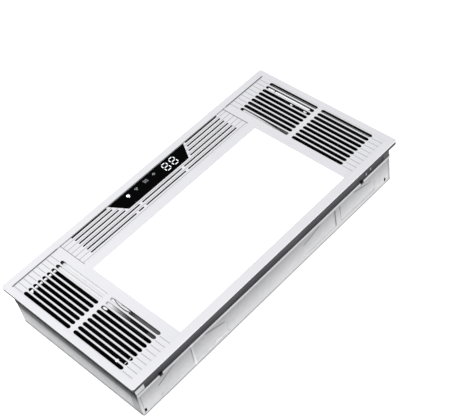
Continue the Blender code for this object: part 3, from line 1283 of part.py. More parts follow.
def outlet_guide():
    """White guide under the left grille: a U-shaped rim, a cover and a ramp that falls to the near side."""
    top = PANEL_UNDER - SEAT_GAP
    rim_top = PANEL_UNDER - GUIDE_TOP_GAP
    low = rim_top - GUIDE_RING_DEPTH
    left, right = LEFT + GUIDE_LEFT, LEFT + GUIDE_COVER_RIGHT
    far, near = FAR - GUIDE_FROM_FAR, NEAR + GUIDE_FROM_NEAR
    outer = far + GUIDE_RIM_WIDTH
    inner = left + GUIDE_LEFT_WALL
    rim = [(left, near), (inner, near), (inner, far - GUIDE_GUSSET), (inner + GUIDE_GUSSET, far),
           (right, far), (right, outer), (left, outer)]
    guide = prism("outlet_guide", [rim], low, rim_top)
    cover_left, cover_near = LEFT + GUIDE_COVER_LEFT, far - GUIDE_COVER_REACH
    path = [(outer - SEAT_GAP, top), (cover_near, top),
            (NEAR + GUIDE_RAMP_FROM_NEAR, PANEL_UNDER - GUIDE_RAMP_DROP)]
    cover = prism("guide_cover", [thickened(path, GUIDE_WALL)], cover_left, right, "X")
    join(guide, cover)
    plate_top = PLATE_HIGH + SEAT_GAP
    post = block("guide_post", (left, near, plate_top),
                 (inner, near + GUIDE_LEFT_WALL, rim_top - GUIDE_WALL / 2))
    join(guide, post)
    boss_x, boss_y = LEFT + GUIDE_BOSS_FROM_LEFT, NEAR + GUIDE_BOSS_FROM_NEAR
    boss = rods("guide_boss", [(boss_x, boss_y, rim_top - GUIDE_BOSS_DEPTH / 2)],
                GUIDE_BOSS_RADIUS, GUIDE_BOSS_DEPTH, "Z", GUIDE_BOSS_STEPS)
    join(guide, boss)
    half = GUIDE_BOSS_RADIUS / 2
    web = block("guide_web", (boss_x, boss_y - half, rim_top - GUIDE_BOSS_DEPTH / 2),
                (cover_left + half, boss_y + half, rim_top - GUIDE_WALL / 4))
    join(guide, web)
    tab_x, tab = (left + inner) / 2, GUIDE_TAB / 2
    join(guide, block("guide_tab", (tab_x - tab, near - GUIDE_TAB_WIDTH / 2, rim_top - GUIDE_TAB_THICK),
                      (tab_x + tab, near + GUIDE_TAB_WIDTH / 2, rim_top + SEAT_GAP)))
    return part(guide, WHITE_GUIDE)


def round_wheel(radius, angle):
    """A point round the extract wheel's axis, at an angle in degrees."""
    turn = math.radians(angle)
    return WHEEL_X + radius * math.cos(turn), WHEEL_Y + radius * math.sin(turn)


def casing_spiral(inset):
    """The extract casing's spiral, clockwise from its cut-off to its outlet, drawn in by a wall."""
    points = []
    for step in range(CASING_STEPS + 1):
        angle = CASING_CUTOFF - CASING_TURN * step / CASING_STEPS
        points.append(round_wheel(casing_radius(angle) - inset, angle))
    return points


def casing_end():
    """Where the extract casing's outlet stops, short of the collar's flange."""
    return INNER_X - SEAT_GAP * 2 - COLLAR_FLANGE_THICK


def casing_outline():
    """The extract casing's outer outline, outlet included."""
    near, far = scroll_outlet()
    end = casing_end()
    return casing_spiral(0.0) + [(end, far), (end, near)]


def extract_casing():
    """Black moulded scroll of the extract fan, open at its top and at its outlet, with two feet."""
    near, far = scroll_outlet()
    low, top = FLOOR, SCROLL_TOP
    casing = prism("extract_casing", [casing_outline()], low, top)
    spiral = casing_spiral(CASING_WALL)
    tongue_x = casing_spiral(0.0)[0][0] - CASING_WALL
    end = casing_end() + OVERRUN
    inner = spiral + [(end, far - CASING_WALL), (end, near + CASING_WALL), (tongue_x, near + CASING_WALL)]
    for number, angle in enumerate(CASING_FEET):
        x, y = round_wheel(casing_radius(angle) + CASING_FOOT_OUT, angle)
        foot = rods(f"casing_foot_{number}", [(x, y, low + CASING_WALL / 2)], CASING_FOOT, CASING_WALL, "Z",
                    SHAFT_STEPS)
        join(casing, foot)
    cut(casing, prism("casing_inside", [inner], low + CASING_WALL, top + OVERRUN))
    holes = [(x, y, low) for x, y in extract_screw_places()]
    cut(casing, rods("casing_holes", holes, SCREW_RADIUS + SEAT_GAP, (CASING_WALL + OVERRUN) * 2, "Z",
                     SCREW_STEPS))
    return part(casing, BLACK_PLASTIC)


def extract_cover():
    """Flat cover of the extract casing with a round inlet and a short throat."""
    low = SCROLL_TOP + SEAT_GAP
    centre = (WHEEL_X, WHEEL_Y)
    hole = arc(centre, INLET_RADIUS, 0.0, 360.0, WHEEL_STEPS)[:-1]
    cover = prism("extract_cover", [casing_outline(), hole], low, low + CASING_COVER)
    outer = INLET_RADIUS + CASING_COVER
    throat = [(outer, CASING_COVER / 2), (outer, -INLET_DROP), (INLET_RADIUS, -INLET_DROP),
              (INLET_RADIUS, CASING_COVER / 2)]
    ring = turned("inlet_throat", throat, WHEEL_STEPS)
    ring.location = (WHEEL_X, WHEEL_Y, low)
    bpy.context.view_layer.update()
    return part(join(cover, ring), BLACK_PLASTIC)


def extract_motor_low():
    """The level of the extract motor's underside."""
    return FLOOR + CASING_WALL + SEAT_GAP


def extract_screw_places():
    """The extract motor's screws round its flange."""
    places = []
    for number in range(EXTRACT_SCREW_COUNT):
        places.append(round_wheel(EXTRACT_SCREW_RADIUS, 360.0 * (number + 1 / 2) / EXTRACT_SCREW_COUNT))
    return places


def extract_motor():
    """Flat motor on the casing's floor, with a screwed flange and a blind shaft bore."""
    bore, height = SHAFT_RADIUS + SEAT_GAP, EXTRACT_MOTOR_HEIGHT
    radius, edge = EXTRACT_MOTOR_RADIUS, MOTOR_EDGE / 2
    profile = [(0.0, height - EXTRACT_BORE_DEPTH), (bore, height - EXTRACT_BORE_DEPTH), (bore, height),
               (radius - edge, height), (radius, height - edge), (radius, EXTRACT_FLANGE_THICK),
               (EXTRACT_FLANGE_RADIUS, EXTRACT_FLANGE_THICK), (EXTRACT_FLANGE_RADIUS, 0.0), (0.0, 0.0)]
    low = extract_motor_low()
    motor = turned("extract_motor", profile, WHEEL_STEPS)
    motor.location = (WHEEL_X, WHEEL_Y, low)
    bpy.context.view_layer.update()
    motor = baked(motor)
    holes = [(x, y, low) for x, y in extract_screw_places()]
    cut(motor, rods("extract_flange_holes", holes, SCREW_RADIUS + SEAT_GAP,
                    (EXTRACT_FLANGE_THICK + OVERRUN) * 2, "Z", SCREW_STEPS))
    return part(motor, GALVANISED, 40)


def extract_screws():
    """Three screws that hold the extract motor's flange to the casing."""
    level = extract_motor_low() + EXTRACT_FLANGE_THICK + SEAT_GAP
    length = level - FLOOR - SEAT_GAP
    turn = Matrix.Rotation(math.pi, 4, "X")
    places = [Matrix.Translation((x, y, level)) @ turn for x, y in extract_screw_places()]
    copies(screw("extract_screw", length), "extract_screw", BRIGHT_STEEL, places, 40)


def dome_level():
    """The underside of the wheel's dome, above the extract motor."""
    return extract_motor_low() + EXTRACT_MOTOR_HEIGHT + DOME_GAP


def extract_wheel():
    """Forward-curved wheel: blades on a flat ring that rises to a dome over the motor, with a front ring."""
    centre = (WHEEL_X, WHEEL_Y)
    loops = []
    for number in range(WHEEL_BLADES):
        angle = 2 * math.pi * number / WHEEL_BLADES
        loops.append(fan_blade(angle, WHEEL_BLADE_INNER, WHEEL_RADIUS - WHEEL_BLADE_THICK, WHEEL_BLADE_LEAN,
                               WHEEL_BLADE_THICK, centre))
    blades = prism("wheel_blades", loops, WHEEL_LOW + DOME_SHEET / 2, WHEEL_HIGH - DOME_SHEET / 2)
    under = dome_level()
    top = under + DOME_SHEET
    hub_top = under + WHEEL_HUB_HEIGHT
    wide = EXTRACT_MOTOR_RADIUS + DOME_GAP
    bore = SHAFT_RADIUS + SEAT_GAP
    back = [(0.0, hub_top), (WHEEL_HUB_RADIUS, hub_top), (WHEEL_HUB_RADIUS, top), (wide, top),
            (wide + DOME_SLOPE + DOME_SHEET, WHEEL_LOW + DOME_SHEET), (WHEEL_RADIUS, WHEEL_LOW + DOME_SHEET),
            (WHEEL_RADIUS, WHEEL_LOW), (wide + DOME_SLOPE, WHEEL_LOW), (wide - DOME_SHEET, under),
            (bore, under), (bore, hub_top - DOME_SHEET), (0.0, hub_top - DOME_SHEET)]
    front = [(WHEEL_BLADE_INNER, WHEEL_HIGH), (WHEEL_RADIUS, WHEEL_HIGH),
             (WHEEL_RADIUS, WHEEL_HIGH - DOME_SHEET), (WHEEL_BLADE_INNER, WHEEL_HIGH - DOME_SHEET)]
    discs = [turned("wheel_back", back, WHEEL_STEPS), turned("wheel_front", front, WHEEL_STEPS)]
    for disc in discs:
        disc.location = (WHEEL_X, WHEEL_Y, 0.0)
    bpy.context.view_layer.update()
    wheel = join(blades, merged("wheel_discs", discs))
    wheel = baked(wheel)
    wheel.name = "extract_wheel"
    return part(hang_on(wheel, (WHEEL_X, WHEEL_Y, WHEEL_LOW)), WHEEL_GREY)


def extract_shaft():
    """Steel shaft from the extract motor into the wheel's hub; it turns with the wheel."""
    start = extract_motor_low() + EXTRACT_MOTOR_HEIGHT - EXTRACT_BORE_DEPTH + SEAT_GAP
    end = dome_level() + WHEEL_HUB_HEIGHT - DOME_SHEET - SEAT_GAP
    middle = (start + end) / 2
    shaft = rods("extract_shaft", [(WHEEL_X, WHEEL_Y, middle)], SHAFT_RADIUS, end - start, "Z", SHAFT_STEPS)
    return part(hang_on(shaft, (WHEEL_X, WHEEL_Y, middle)), BRIGHT_STEEL, 40)


def collar_limits():
    """The collar's outside: near, far, low and high."""
    near, far = outlet_span()
    return near, far, FLOOR + COLLAR_FLANGE, SCROLL_TOP - COLLAR_FLANGE


def flap_pivot():
    """Where the flap's pin lies, in X and Z."""
    near, far, low, high = collar_limits()
    start = casing_end() - COLLAR_SINK
    return start + FLAP_SETBACK, low + COLLAR_WALL + FLAP_BARREL_RADIUS + SEAT_GAP * 2


def outlet_collar():
    """Black outlet collar: a flange inside the end wall, a spigot through it and a sleeve for the flap."""
    near, far, low, high = collar_limits()
    flange_near, flange_far = scroll_outlet()
    start, end = casing_end() - COLLAR_SINK, HOUSING_X + COLLAR_PROUD
    collar = prism("outlet_collar", [rectangle(near, low, far, high)], start, end, "X")
    flange_x = INNER_X - SEAT_GAP
    flange = block("collar_flange", (flange_x - COLLAR_FLANGE_THICK, flange_near, FLOOR),
                   (flange_x, flange_far, SCROLL_TOP))
    join(collar, flange)
    wall = COLLAR_WALL
    cut(collar, prism("collar_bore", [rectangle(near + wall, low + wall, far - wall, high - wall)],
                      start - OVERRUN, end + OVERRUN, "X"))
    pivot_x, pivot_z = flap_pivot()
    cut(collar, rods("collar_pin_holes", [(pivot_x, (near + far) / 2, pivot_z)], FLAP_PIN_RADIUS + SEAT_GAP,
                     far - near + OVERRUN * 2, "Y", SHAFT_STEPS))
    stop_x = pivot_x - FLAP_THICK / 2 - SEAT_GAP
    middle = (near + far) / 2
    reach = FLAP_STOP_LENGTH / 2
    stop = block("flap_stop", (stop_x - FLAP_STOP, middle - reach, high - wall - FLAP_STOP_DROP),
                 (stop_x, middle + reach, high - wall / 2))
    join(collar, stop)
    return part(collar, BLACK_PLASTIC)


def backdraught_flap():
    """Light flap that closes the collar when the extract fan rests; it swings outward on its pin."""
    near, far, low, high = collar_limits()
    inner_near, inner_far = near + COLLAR_WALL, far - COLLAR_WALL
    x, z = flap_pivot()
    middle = (near + far) / 2
    flap = block("backdraught_flap", (x - FLAP_THICK / 2, inner_near + FLAP_GAP, z),
                 (x + FLAP_THICK / 2, inner_far - FLAP_GAP, high - COLLAR_WALL - FLAP_GAP))
    length = inner_far - inner_near - FLAP_GAP
    barrel = rods("flap_barrel", [(x, middle, z)], FLAP_BARREL_RADIUS, length, "Y", SHAFT_STEPS)
    pin = rods("flap_pin", [(x, middle, z)], FLAP_PIN_RADIUS, far - near - SEAT_GAP * 2, "Y", SHAFT_STEPS)
    join(flap, barrel)
    join(flap, pin)
    flap = baked(flap)
    return part(hang_on(flap, (x, middle, z)), WHEEL_GREY)


def inlet_guide():
    """White strip under the first slot of the right grille; it slopes down to the extract fan's cover."""
    left = RIGHT - INLET_GUIDE_FROM_RIGHT
    top = PANEL_UNDER - SEAT_GAP
    far = FAR - INLET_GUIDE_FROM_FAR
    path = [(far + INLET_GUIDE_WIDTH / 2, top), (far, top),
            (far - INLET_GUIDE_REACH, PANEL_UNDER - INLET_GUIDE_DROP)]
    guide = prism("inlet_guide", [thickened(path, INLET_GUIDE_SHEET)], left, left + INLET_GUIDE_WIDTH, "X")
    return part(guide, WHITE_GUIDE)


def inlet_rib():
    """White notched rib under the panel, beneath the last slots of the right grille."""
    left = RIGHT - RIB_FROM_RIGHT
    far = FAR - RIB_FROM_FAR
    near, notch = far - RIB_LENGTH, FAR - RIB_NOTCH
    right = left + RIB_WIDTH
    slim = right - RIB_NOTCH_DEPTH
    outline = [(left, near), (right, near), (right, notch), (slim, notch), (slim, notch + RIB_NOTCH_WIDTH),
               (right, notch + RIB_NOTCH_WIDTH), (right, far), (left, far)]
    for place, finger_width in reversed(RIB_FINGERS):
        y = FAR - place
        tip = left - RIB_FINGER
        outline += [(left, y + finger_width), (tip, y + finger_width), (tip, y), (left, y)]
    top = PANEL_UNDER - SEAT_GAP
    return part(prism("inlet_rib", [outline], top - RIB_DEPTH, top), WHITE_GUIDE)


def partition():
    """Galvanised sheet between the warm air side and the extract side, with a foot and a cable hole."""
    left, limit = PARTITION_X, SKIRT_INSIDE
    sheet = prism("partition", [rectangle(-limit, FLOOR, limit, PARTITION_HIGH)], left,
                  left + END_PLATE_SHEET, "X")
    foot = block("partition_foot", (PARTITION_FOOT, -limit, FLOOR),
                 (left + END_PLATE_SHEET / 2, limit, FLOOR + END_PLATE_SHEET))
    join(sheet, foot)
    hole = (left, NEAR + PARTITION_HOLE_FROM_NEAR, PARTITION_HOLE_LEVEL)
    cut(sheet, rods("partition_hole", [hole], PARTITION_HOLE_RADIUS, (END_PLATE_SHEET + OVERRUN) * 2, "X",
                    SHAFT_STEPS))
    return part(sheet, GALVANISED)


def cable_grommet():
    """Rubber grommet in the partition's cable hole."""
    outer = PARTITION_HOLE_RADIUS - SEAT_GAP
    half = END_PLATE_SHEET / 2 + SEAT_GAP
    rim, lip = outer + GROMMET_LIP, half + GROMMET_WALL
    profile = [(outer - GROMMET_WALL, lip), (rim, lip), (rim, half), (outer, half), (outer, -half),
               (rim, -half), (rim, -lip), (outer - GROMMET_WALL, -lip)]
    grommet = turned("cable_grommet", profile, SHAFT_STEPS)
    grommet.rotation_euler = (0.0, math.pi / 2, 0.0)
    grommet.location = (PARTITION_X + END_PLATE_SHEET / 2, NEAR + PARTITION_HOLE_FROM_NEAR,
                        PARTITION_HOLE_LEVEL)
    bpy.context.view_layer.update()
    return part(baked(grommet), RUBBER, 40)


def box_limits():
    """The control box's outside as left, near, right, far."""
    return (PLATE_RIGHT + BOX_TO_PLATE, NEAR + BOX_FROM_NEAR, PARTITION_FOOT - BOX_TO_FOOT,
            FAR - BOX_FROM_FAR)


def control_box():
    """Moulded control box with posts for its board."""
    left, near, right, far = box_limits()
    wall = BOX_WALL
    box = prism("control_box", [rounded(left, near, right, far, BOX_CORNER)], FLOOR, FLOOR + BOX_HEIGHT)
    inside = rounded(left + wall, near + wall, right - wall, far - wall, BOX_CORNER - wall)
    cut(box, prism("box_inside", [inside], FLOOR + wall, FLOOR + BOX_HEIGHT + OVERRUN))
    height = POST_HEIGHT + wall / 2
    posts = [(x, y, FLOOR + wall / 2 + height / 2) for x in (left + POST_INSET, right - POST_INSET)
             for y in (near + POST_INSET, far - POST_INSET)]
    join(box, rods("box_posts", posts, POST_RADIUS, height, "Z", SHAFT_STEPS))
    return part(box, BLACK_PLASTIC)


def control_cover():
    """Lid of the control box with a lip inside its rim."""
    left, near, right, far = box_limits()
    low = FLOOR + BOX_HEIGHT + SEAT_GAP
    lid = prism("control_cover", [rounded(left, near, right, far, BOX_CORNER)], low, low + BOX_WALL)
    inset = BOX_WALL + SEAT_GAP
    lip = prism("lid_lip", [
        rounded(left + inset, near + inset, right - inset, far - inset, BOX_CORNER - BOX_WALL),
        rectangle(left + inset * 2, near + inset * 2, right - inset * 2, far - inset * 2)],
        low - BOX_WALL, low + BOX_WALL / 2)
    return part(join(lid, lip), BLACK_PLASTIC)


def board_levels():
    """The control board's underside and top."""
    low = FLOOR + BOX_WALL + POST_HEIGHT + SEAT_GAP
    return low, low + BOARD_THICK


def control_board():
    """Circuit board on the control box's posts."""
    left, near, right, far = box_limits()
    edge = BOARD_EDGE
    low, high = board_levels()
    return part(block("control_board", (left + edge, near + edge, low), (right - edge, far - edge, high)),
                BOARD_GREEN)


def relay_bank():
    """Relays in a row on one base, on the control board."""
    left, near, right, far = box_limits()
    width, length, height = RELAY_SIZE
    low = board_levels()[1] + SEAT_GAP
    x, y = left + RELAY_INSET, near + RELAY_NEAR
    bank = block("relay_bank", (x, y, low), (x + width, y + RELAY_PITCH * (RELAY_COUNT - 1) + length,
                                            low + RELAY_BASE))
    corners = []
    for number in range(RELAY_COUNT):
        start = y + number * RELAY_PITCH
        corners.append(((x, start, low), (x + width, start + length, low + height)))
    return part(join(bank, blocks("relay_cans", corners)), RELAY_BLUE)


def capacitor():
    """Upright capacitor on the control board."""
    left, near, right, far = box_limits()
    low = board_levels()[1] + SEAT_GAP
    place = (left + RELAY_INSET + RELAY_SIZE[0] / 2, near + CAPACITOR_NEAR, low + CAPACITOR_HEIGHT / 2)
    can = rods("capacitor", [place], CAPACITOR_RADIUS, CAPACITOR_HEIGHT, "Z", CAPACITOR_STEPS)
    return part(can, BLACK_GLOSS, 40)


def light_driver():
    """Boxed driver of the light, on the housing's floor."""
    width, length, height = DRIVER_SIZE
    left, near = PLATE_RIGHT + DRIVER_TO_PLATE, FAR - DRIVER_FROM_FAR - length
    return part(block("light_driver", (left, near, FLOOR), (left + width, near + length, FLOOR + height)),
                WHITE_PLASTIC)


def terminal_block():
    """Stepped terminal block for the supply, beside the cable gland."""
    width, length, height = TERMINAL_SIZE
    left, near = PARTITION_FOOT - TERMINAL_TO_FOOT - width, FAR - TERMINAL_FROM_FAR - length
    outline = [(near, FLOOR), (near + length, FLOOR), (near + length, FLOOR + height - TERMINAL_STEP),
               (near + length - TERMINAL_STEP, FLOOR + height - TERMINAL_STEP),
               (near + length - TERMINAL_STEP, FLOOR + height), (near, FLOOR + height)]
    return part(prism("terminal_block", [outline], left, left + width, "X"), WHITE_PLASTIC)


def cable_gland():
    """Gland through the far long wall for the supply cable, with a flange outside."""
    outside = SEAT_GAP + GLAND_NUT_DEPTH
    profile = [(GLAND_BORE, GLAND_OUTSIDE), (GLAND_RADIUS, GLAND_OUTSIDE), (GLAND_RADIUS, outside),
               (GLAND_NUT_RADIUS, outside), (GLAND_NUT_RADIUS, SEAT_GAP), (GLAND_RADIUS, SEAT_GAP),
               (GLAND_RADIUS, -GLAND_INSIDE), (GLAND_BORE, -GLAND_INSIDE)]
    gland = turned("cable_gland", profile, GLAND_STEPS)
    return part(baked(turn_about_y(gland, (GLAND_X, HOUSING_Y, GLAND_LEVEL))), BLACK_PLASTIC, 40)


def gland_nut():
    """Lock nut of the cable gland on the inside of the wall."""
    centre = (GLAND_X, INNER_Y - SEAT_GAP - GLAND_NUT_DEPTH / 2, GLAND_LEVEL)
    nut = rods("gland_nut", [centre], GLAND_NUT_RADIUS, GLAND_NUT_DEPTH, "Y", HEXAGON)
    cut(nut, rods("gland_nut_bore", [centre], GLAND_RADIUS + SEAT_GAP, GLAND_NUT_DEPTH + OVERRUN * 2,
                  "Y", GLAND_STEPS))
    return part(nut, BLACK_PLASTIC)


def build():
    """Every part of the heater, from the housing inward."""
    housing()
    mounting_frame()
    frame_clips()
    panel_latches()
    front_panel()
    intake_cover()
    display_window()
    display_board()
    light_diffuser()
    light_tray()
    tray_screws()
    light_guide()
    light_strip("light_strip_near", -1)
    light_strip("light_strip_far", 1)
    near_end_plate()
    far_end_plate()
    outlet_elbow()
    outlet_lip()
    fan_scroll()
    fan_tongue()
    heater_fan()
    heater_shaft()
    heater_motor()
    motor_screws()
    fan_bearing()
    heating_core()
    heater_caps()
    thermal_cutout()
    outlet_guide()
    extract_casing()
    extract_cover()
    extract_motor()
    extract_screws()
    extract_wheel()
    extract_shaft()
    outlet_collar()
    backdraught_flap()
    inlet_guide()
    inlet_rib()
    partition()
    cable_grommet()
    control_box()
    control_cover()
    control_board()
    relay_bank()
    capacitor()
    light_driver()
    terminal_block()
    cable_gland()
    gland_nut()


build()
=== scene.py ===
import math

import bpy
import bmesh
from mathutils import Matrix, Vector


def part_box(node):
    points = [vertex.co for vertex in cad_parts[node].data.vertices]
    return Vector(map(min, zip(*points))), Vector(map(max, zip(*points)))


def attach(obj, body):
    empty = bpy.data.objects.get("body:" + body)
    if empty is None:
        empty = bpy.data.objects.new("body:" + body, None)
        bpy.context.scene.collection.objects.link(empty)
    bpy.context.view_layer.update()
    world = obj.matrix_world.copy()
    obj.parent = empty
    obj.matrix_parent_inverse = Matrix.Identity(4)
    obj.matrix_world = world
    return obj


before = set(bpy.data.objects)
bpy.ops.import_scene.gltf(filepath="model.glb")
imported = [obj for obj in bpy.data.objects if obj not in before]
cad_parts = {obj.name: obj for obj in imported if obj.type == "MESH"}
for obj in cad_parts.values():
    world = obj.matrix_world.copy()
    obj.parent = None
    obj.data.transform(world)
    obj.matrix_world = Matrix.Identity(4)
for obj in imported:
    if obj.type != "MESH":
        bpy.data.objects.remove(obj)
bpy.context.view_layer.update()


# Studio. A wide pale floor that runs out of view, a soft white surround and two soft lamps: one high up on
# the left and far side, which lights the face, and one low on the near side for the long wall.


def grey(level, blue):
    """A grey with its own share of blue."""
    return (level, level, blue, 1.0)


FLOOR_HALF, FLOOR_DROP = 6.0, 0.0004
FLOOR_PALE, PURE_WHITE = grey(0.96, 0.965), grey(1.0, 1.0)
LAMP_AIM = Vector((0.0, 0.0, 0.05))
CAMERA_PLACE, CAMERA_TURN = (-0.6884, -0.9487, 1.3865), (41.3252, 8.0332, -46.7107)
LENS_MM = 88.07

floor_mesh = bmesh.new()
bmesh.ops.create_grid(floor_mesh, x_segments=24, y_segments=24, size=FLOOR_HALF)
floor_data = bpy.data.meshes.new("studio_floor")
floor_mesh.to_mesh(floor_data)
floor_mesh.free()
floor = bpy.data.objects.new("studio_floor", floor_data)
floor.location.z = -FLOOR_DROP
bpy.context.scene.collection.objects.link(floor)
floor_paint = bpy.data.materials.new("studio_floor")
floor_paint.use_nodes = True
floor_shader = floor_paint.node_tree.nodes["Principled BSDF"]
floor_shader.inputs["Base Color"].default_value = FLOOR_PALE
floor_shader.inputs["Roughness"].default_value = 0.9
floor_shader.inputs["Specular IOR Level"].default_value = 0.1
floor_shader.inputs["Emission Color"].default_value = PURE_WHITE
floor_shader.inputs["Emission Strength"].default_value = 0.62
floor_data.materials.append(floor_paint)

surround = bpy.data.worlds.new("studio")
surround.use_nodes = True
surround_light = surround.node_tree.nodes["Background"]
surround_light.inputs["Color"].default_value = PURE_WHITE
surround_light.inputs["Strength"].default_value = 0.69
bpy.context.scene.world = surround
bpy.context.scene.view_settings.view_transform = "Standard"


def soft_lamp(name, place, size, power):
    """A square area lamp at a place, turned to the middle of the object."""
    data = bpy.data.lights.new(name, "AREA")
    data.shape = "SQUARE"
    data.size = size
    data.energy = power
    lamp = bpy.data.objects.new(name, data)
    lamp.location = place
    lamp.rotation_euler = (LAMP_AIM - Vector(place)).to_track_quat("-Z", "Y").to_euler()
    bpy.context.scene.collection.objects.link(lamp)


soft_lamp("overhead_lamp", (-0.75, 0.45, 1.35), size=1.2, power=10.8)
soft_lamp("near_lamp", (0.5, -1.7, 0.35), size=0.9, power=8.2)

camera_data = bpy.data.cameras.new("camera")
camera_data.lens = LENS_MM
camera = bpy.data.objects.new("camera", camera_data)
camera.location = CAMERA_PLACE
camera.rotation_euler = [math.radians(turn) for turn in CAMERA_TURN]
bpy.context.scene.collection.objects.link(camera)
bpy.context.scene.camera = camera


# Housing, partition and motor cans: galvanised sheet 0.8 mm thick, folded, with pressed long walls.
# The zinc shows faint crystals; inside the box it is painted near black as painted shade, and its outer
# walls carry painted shade and a painted highlight.

FACE_LENGTH = 0.600
ZINC_LIGHT, ZINC_DARK, ZINC_RUBBED = grey(0.500, 0.512), grey(0.435, 0.450), grey(0.62, 0.63)
ZINC_METALLIC = 0.55
# Painted shade: the near black that stands for the deep shade inside the box.
INSIDE_SHADE_BLACK = grey(0.006, 0.007)
END_INSIDE, SIDE_INSIDE, FLOOR_TOP, SKIN_MARGIN = 0.2920, 0.1384, 0.0006, 0.00005
WALL_START, PRESSED_SIDE, LEDGE_LEVEL, HEM_LEVEL, TAB_LEVEL = 0.1370, 0.14042, 0.0099, 0.0505, 0.0562
RIB_PLACE, FOLD_PLACE, TAB_START = 0.1800, 0.1235, 0.2500
# Lines of painted shade on the long walls: the pressings' slanted ends, the second rib's edges and the
# corners.
PRESSING_ENDS = ((0.0460, 0.0350, 0.0840, 0.0478, 0.78), (0.1480, 0.0490, 0.1890, 0.0355, 0.72),
                 (0.3720, 0.0370, 0.4110, 0.0465, 0.66), (0.4975, 0.0485, 0.5425, 0.0345, 0.76))
RIB_LINES = ((0.4495, 0.0480, 0.4515, 0.0090, 0.15), (0.4622, 0.0470, 0.4638, 0.0095, 0.75))
CORNER_LINES = ((0.0120, 0.0020, 0.0120, 0.0480, 0.30), (0.5870, 0.0020, 0.5870, 0.0520, 0.45))


def start_group(name, inputs, outputs):
    """A shader node group with named sockets; returns it with its input and output nodes."""
    group = bpy.data.node_groups.new(name, "ShaderNodeTree")
    for label, kind, value in inputs:
        socket = group.interface.new_socket(name=label, in_out="INPUT", socket_type="NodeSocket" + kind)
        socket.default_value = value
    for label, kind in outputs:
        group.interface.new_socket(name=label, in_out="OUTPUT", socket_type="NodeSocket" + kind)
    return group, group.nodes.new("NodeGroupInput"), group.nodes.new("NodeGroupOutput")


def wire(tree, start, end):
    """Join an output socket to an input socket."""
    tree.links.new(start, end)


def own_place(tree):
    """The piece's own coordinates in metres, as one socket."""
    return tree.nodes.new("ShaderNodeTexCoord").outputs["Object"]


def own_axes(tree):
    """The piece's own coordinates in metres, as three sockets."""
    axes = tree.nodes.new("ShaderNodeSeparateXYZ")
    wire(tree, own_place(tree), axes.inputs["Vector"])
    return axes.outputs["X"], axes.outputs["Y"], axes.outputs["Z"]


def cloud(tree, where, scale, detail=3.0, stretch=None):
    """Noise over a piece's coordinates; stretch draws it out along an axis."""
    if stretch is not None:
        mapping = tree.nodes.new("ShaderNodeMapping")
        mapping.inputs["Scale"].default_value = stretch
        wire(tree, where, mapping.inputs["Vector"])
        where = mapping.outputs["Vector"]
    noise = tree.nodes.new("ShaderNodeTexNoise")
    noise.inputs["Scale"].default_value = scale
    noise.inputs["Detail"].default_value = detail
    wire(tree, where, noise.inputs["Vector"])
    return noise.outputs["Fac"]


def spread(tree, value, low, high, at_low, at_high):
    """Map a value's range on to another, held at its ends; the new ends may be sockets."""
    node = tree.nodes.new("ShaderNodeMapRange")
    wire(tree, value, node.inputs["Value"])
    limits = (("From Min", low), ("From Max", high), ("To Min", at_low), ("To Max", at_high))
    for label, limit in limits:
        if isinstance(limit, float):
            node.inputs[label].default_value = limit
        else:
            wire(tree, limit, node.inputs[label])
    return node.outputs["Result"]


def blend_colours(tree, share, first, second, way="MIX"):
    """Mix two colours by a share; any of the three may be a socket or a plain value."""
    node = tree.nodes.new("ShaderNodeMix")
    node.data_type = "RGBA"
    node.blend_type = way
    for socket, value in ((node.inputs[0], share), (node.inputs[6], first), (node.inputs[7], second)):
        if isinstance(value, (float, tuple)):
            socket.default_value = value
        else:
            wire(tree, value, socket)
    return node.outputs[2]


def sums(tree, way, first, second=None):
    """One arithmetic step on sockets or plain values."""
    node = tree.nodes.new("ShaderNodeMath")
    node.operation = way
    for socket, value in zip(node.inputs, (first, second)):
        if isinstance(value, float):
            socket.default_value = value
        elif value is not None:
            wire(tree, value, socket)
    return node.outputs[0]


def product(tree, first, *others):
    """Several sockets or plain values, multiplied."""
    for other in others:
        first = sums(tree, "MULTIPLY", first, other)
    return first


def largest(tree, first, *others):
    """The largest of several sockets or plain values."""
    for other in others:
        first = sums(tree, "MAXIMUM", first, other)
    return first


def kept(tree, loss, weight=1.0):
    """What is left when a loss has its weight taken off one."""
    return sums(tree, "SUBTRACT", 1.0, product(tree, loss, weight))


def within(tree, value, low, high):
    """One between two limits, otherwise zero."""
    return product(tree, sums(tree, "GREATER_THAN", value, low), sums(tree, "LESS_THAN", value, high))


def edge_rub_group():
    """Where edges are rubbed bright or worn: a mask on sharp edges, broken up by noise."""
    group, entry, leave = start_group(
        "edge_rub", [("Radius", "Float", 0.0006), ("Amount", "Float", 1.0)], [("Mask", "Float")])
    rounded = group.nodes.new("ShaderNodeBevel")
    rounded.samples = 4
    wire(group, entry.outputs["Radius"], rounded.inputs["Radius"])
    plain = group.nodes.new("ShaderNodeNewGeometry")
    dot = group.nodes.new("ShaderNodeVectorMath")
    dot.operation = "DOT_PRODUCT"
    wire(group, rounded.outputs["Normal"], dot.inputs[0])
    wire(group, plain.outputs["Normal"], dot.inputs[1])
    bend = spread(group, dot.outputs["Value"], 0.75, 0.995, 1.0, 0.0)
    broken = spread(group, cloud(group, own_place(group), 160.0, 4.0), 0.38, 0.62, 0.25, 1.0)
    wire(group, product(group, bend, broken, entry.outputs["Amount"]), leave.inputs["Mask"])
    return group


EDGE_RUB = edge_rub_group()


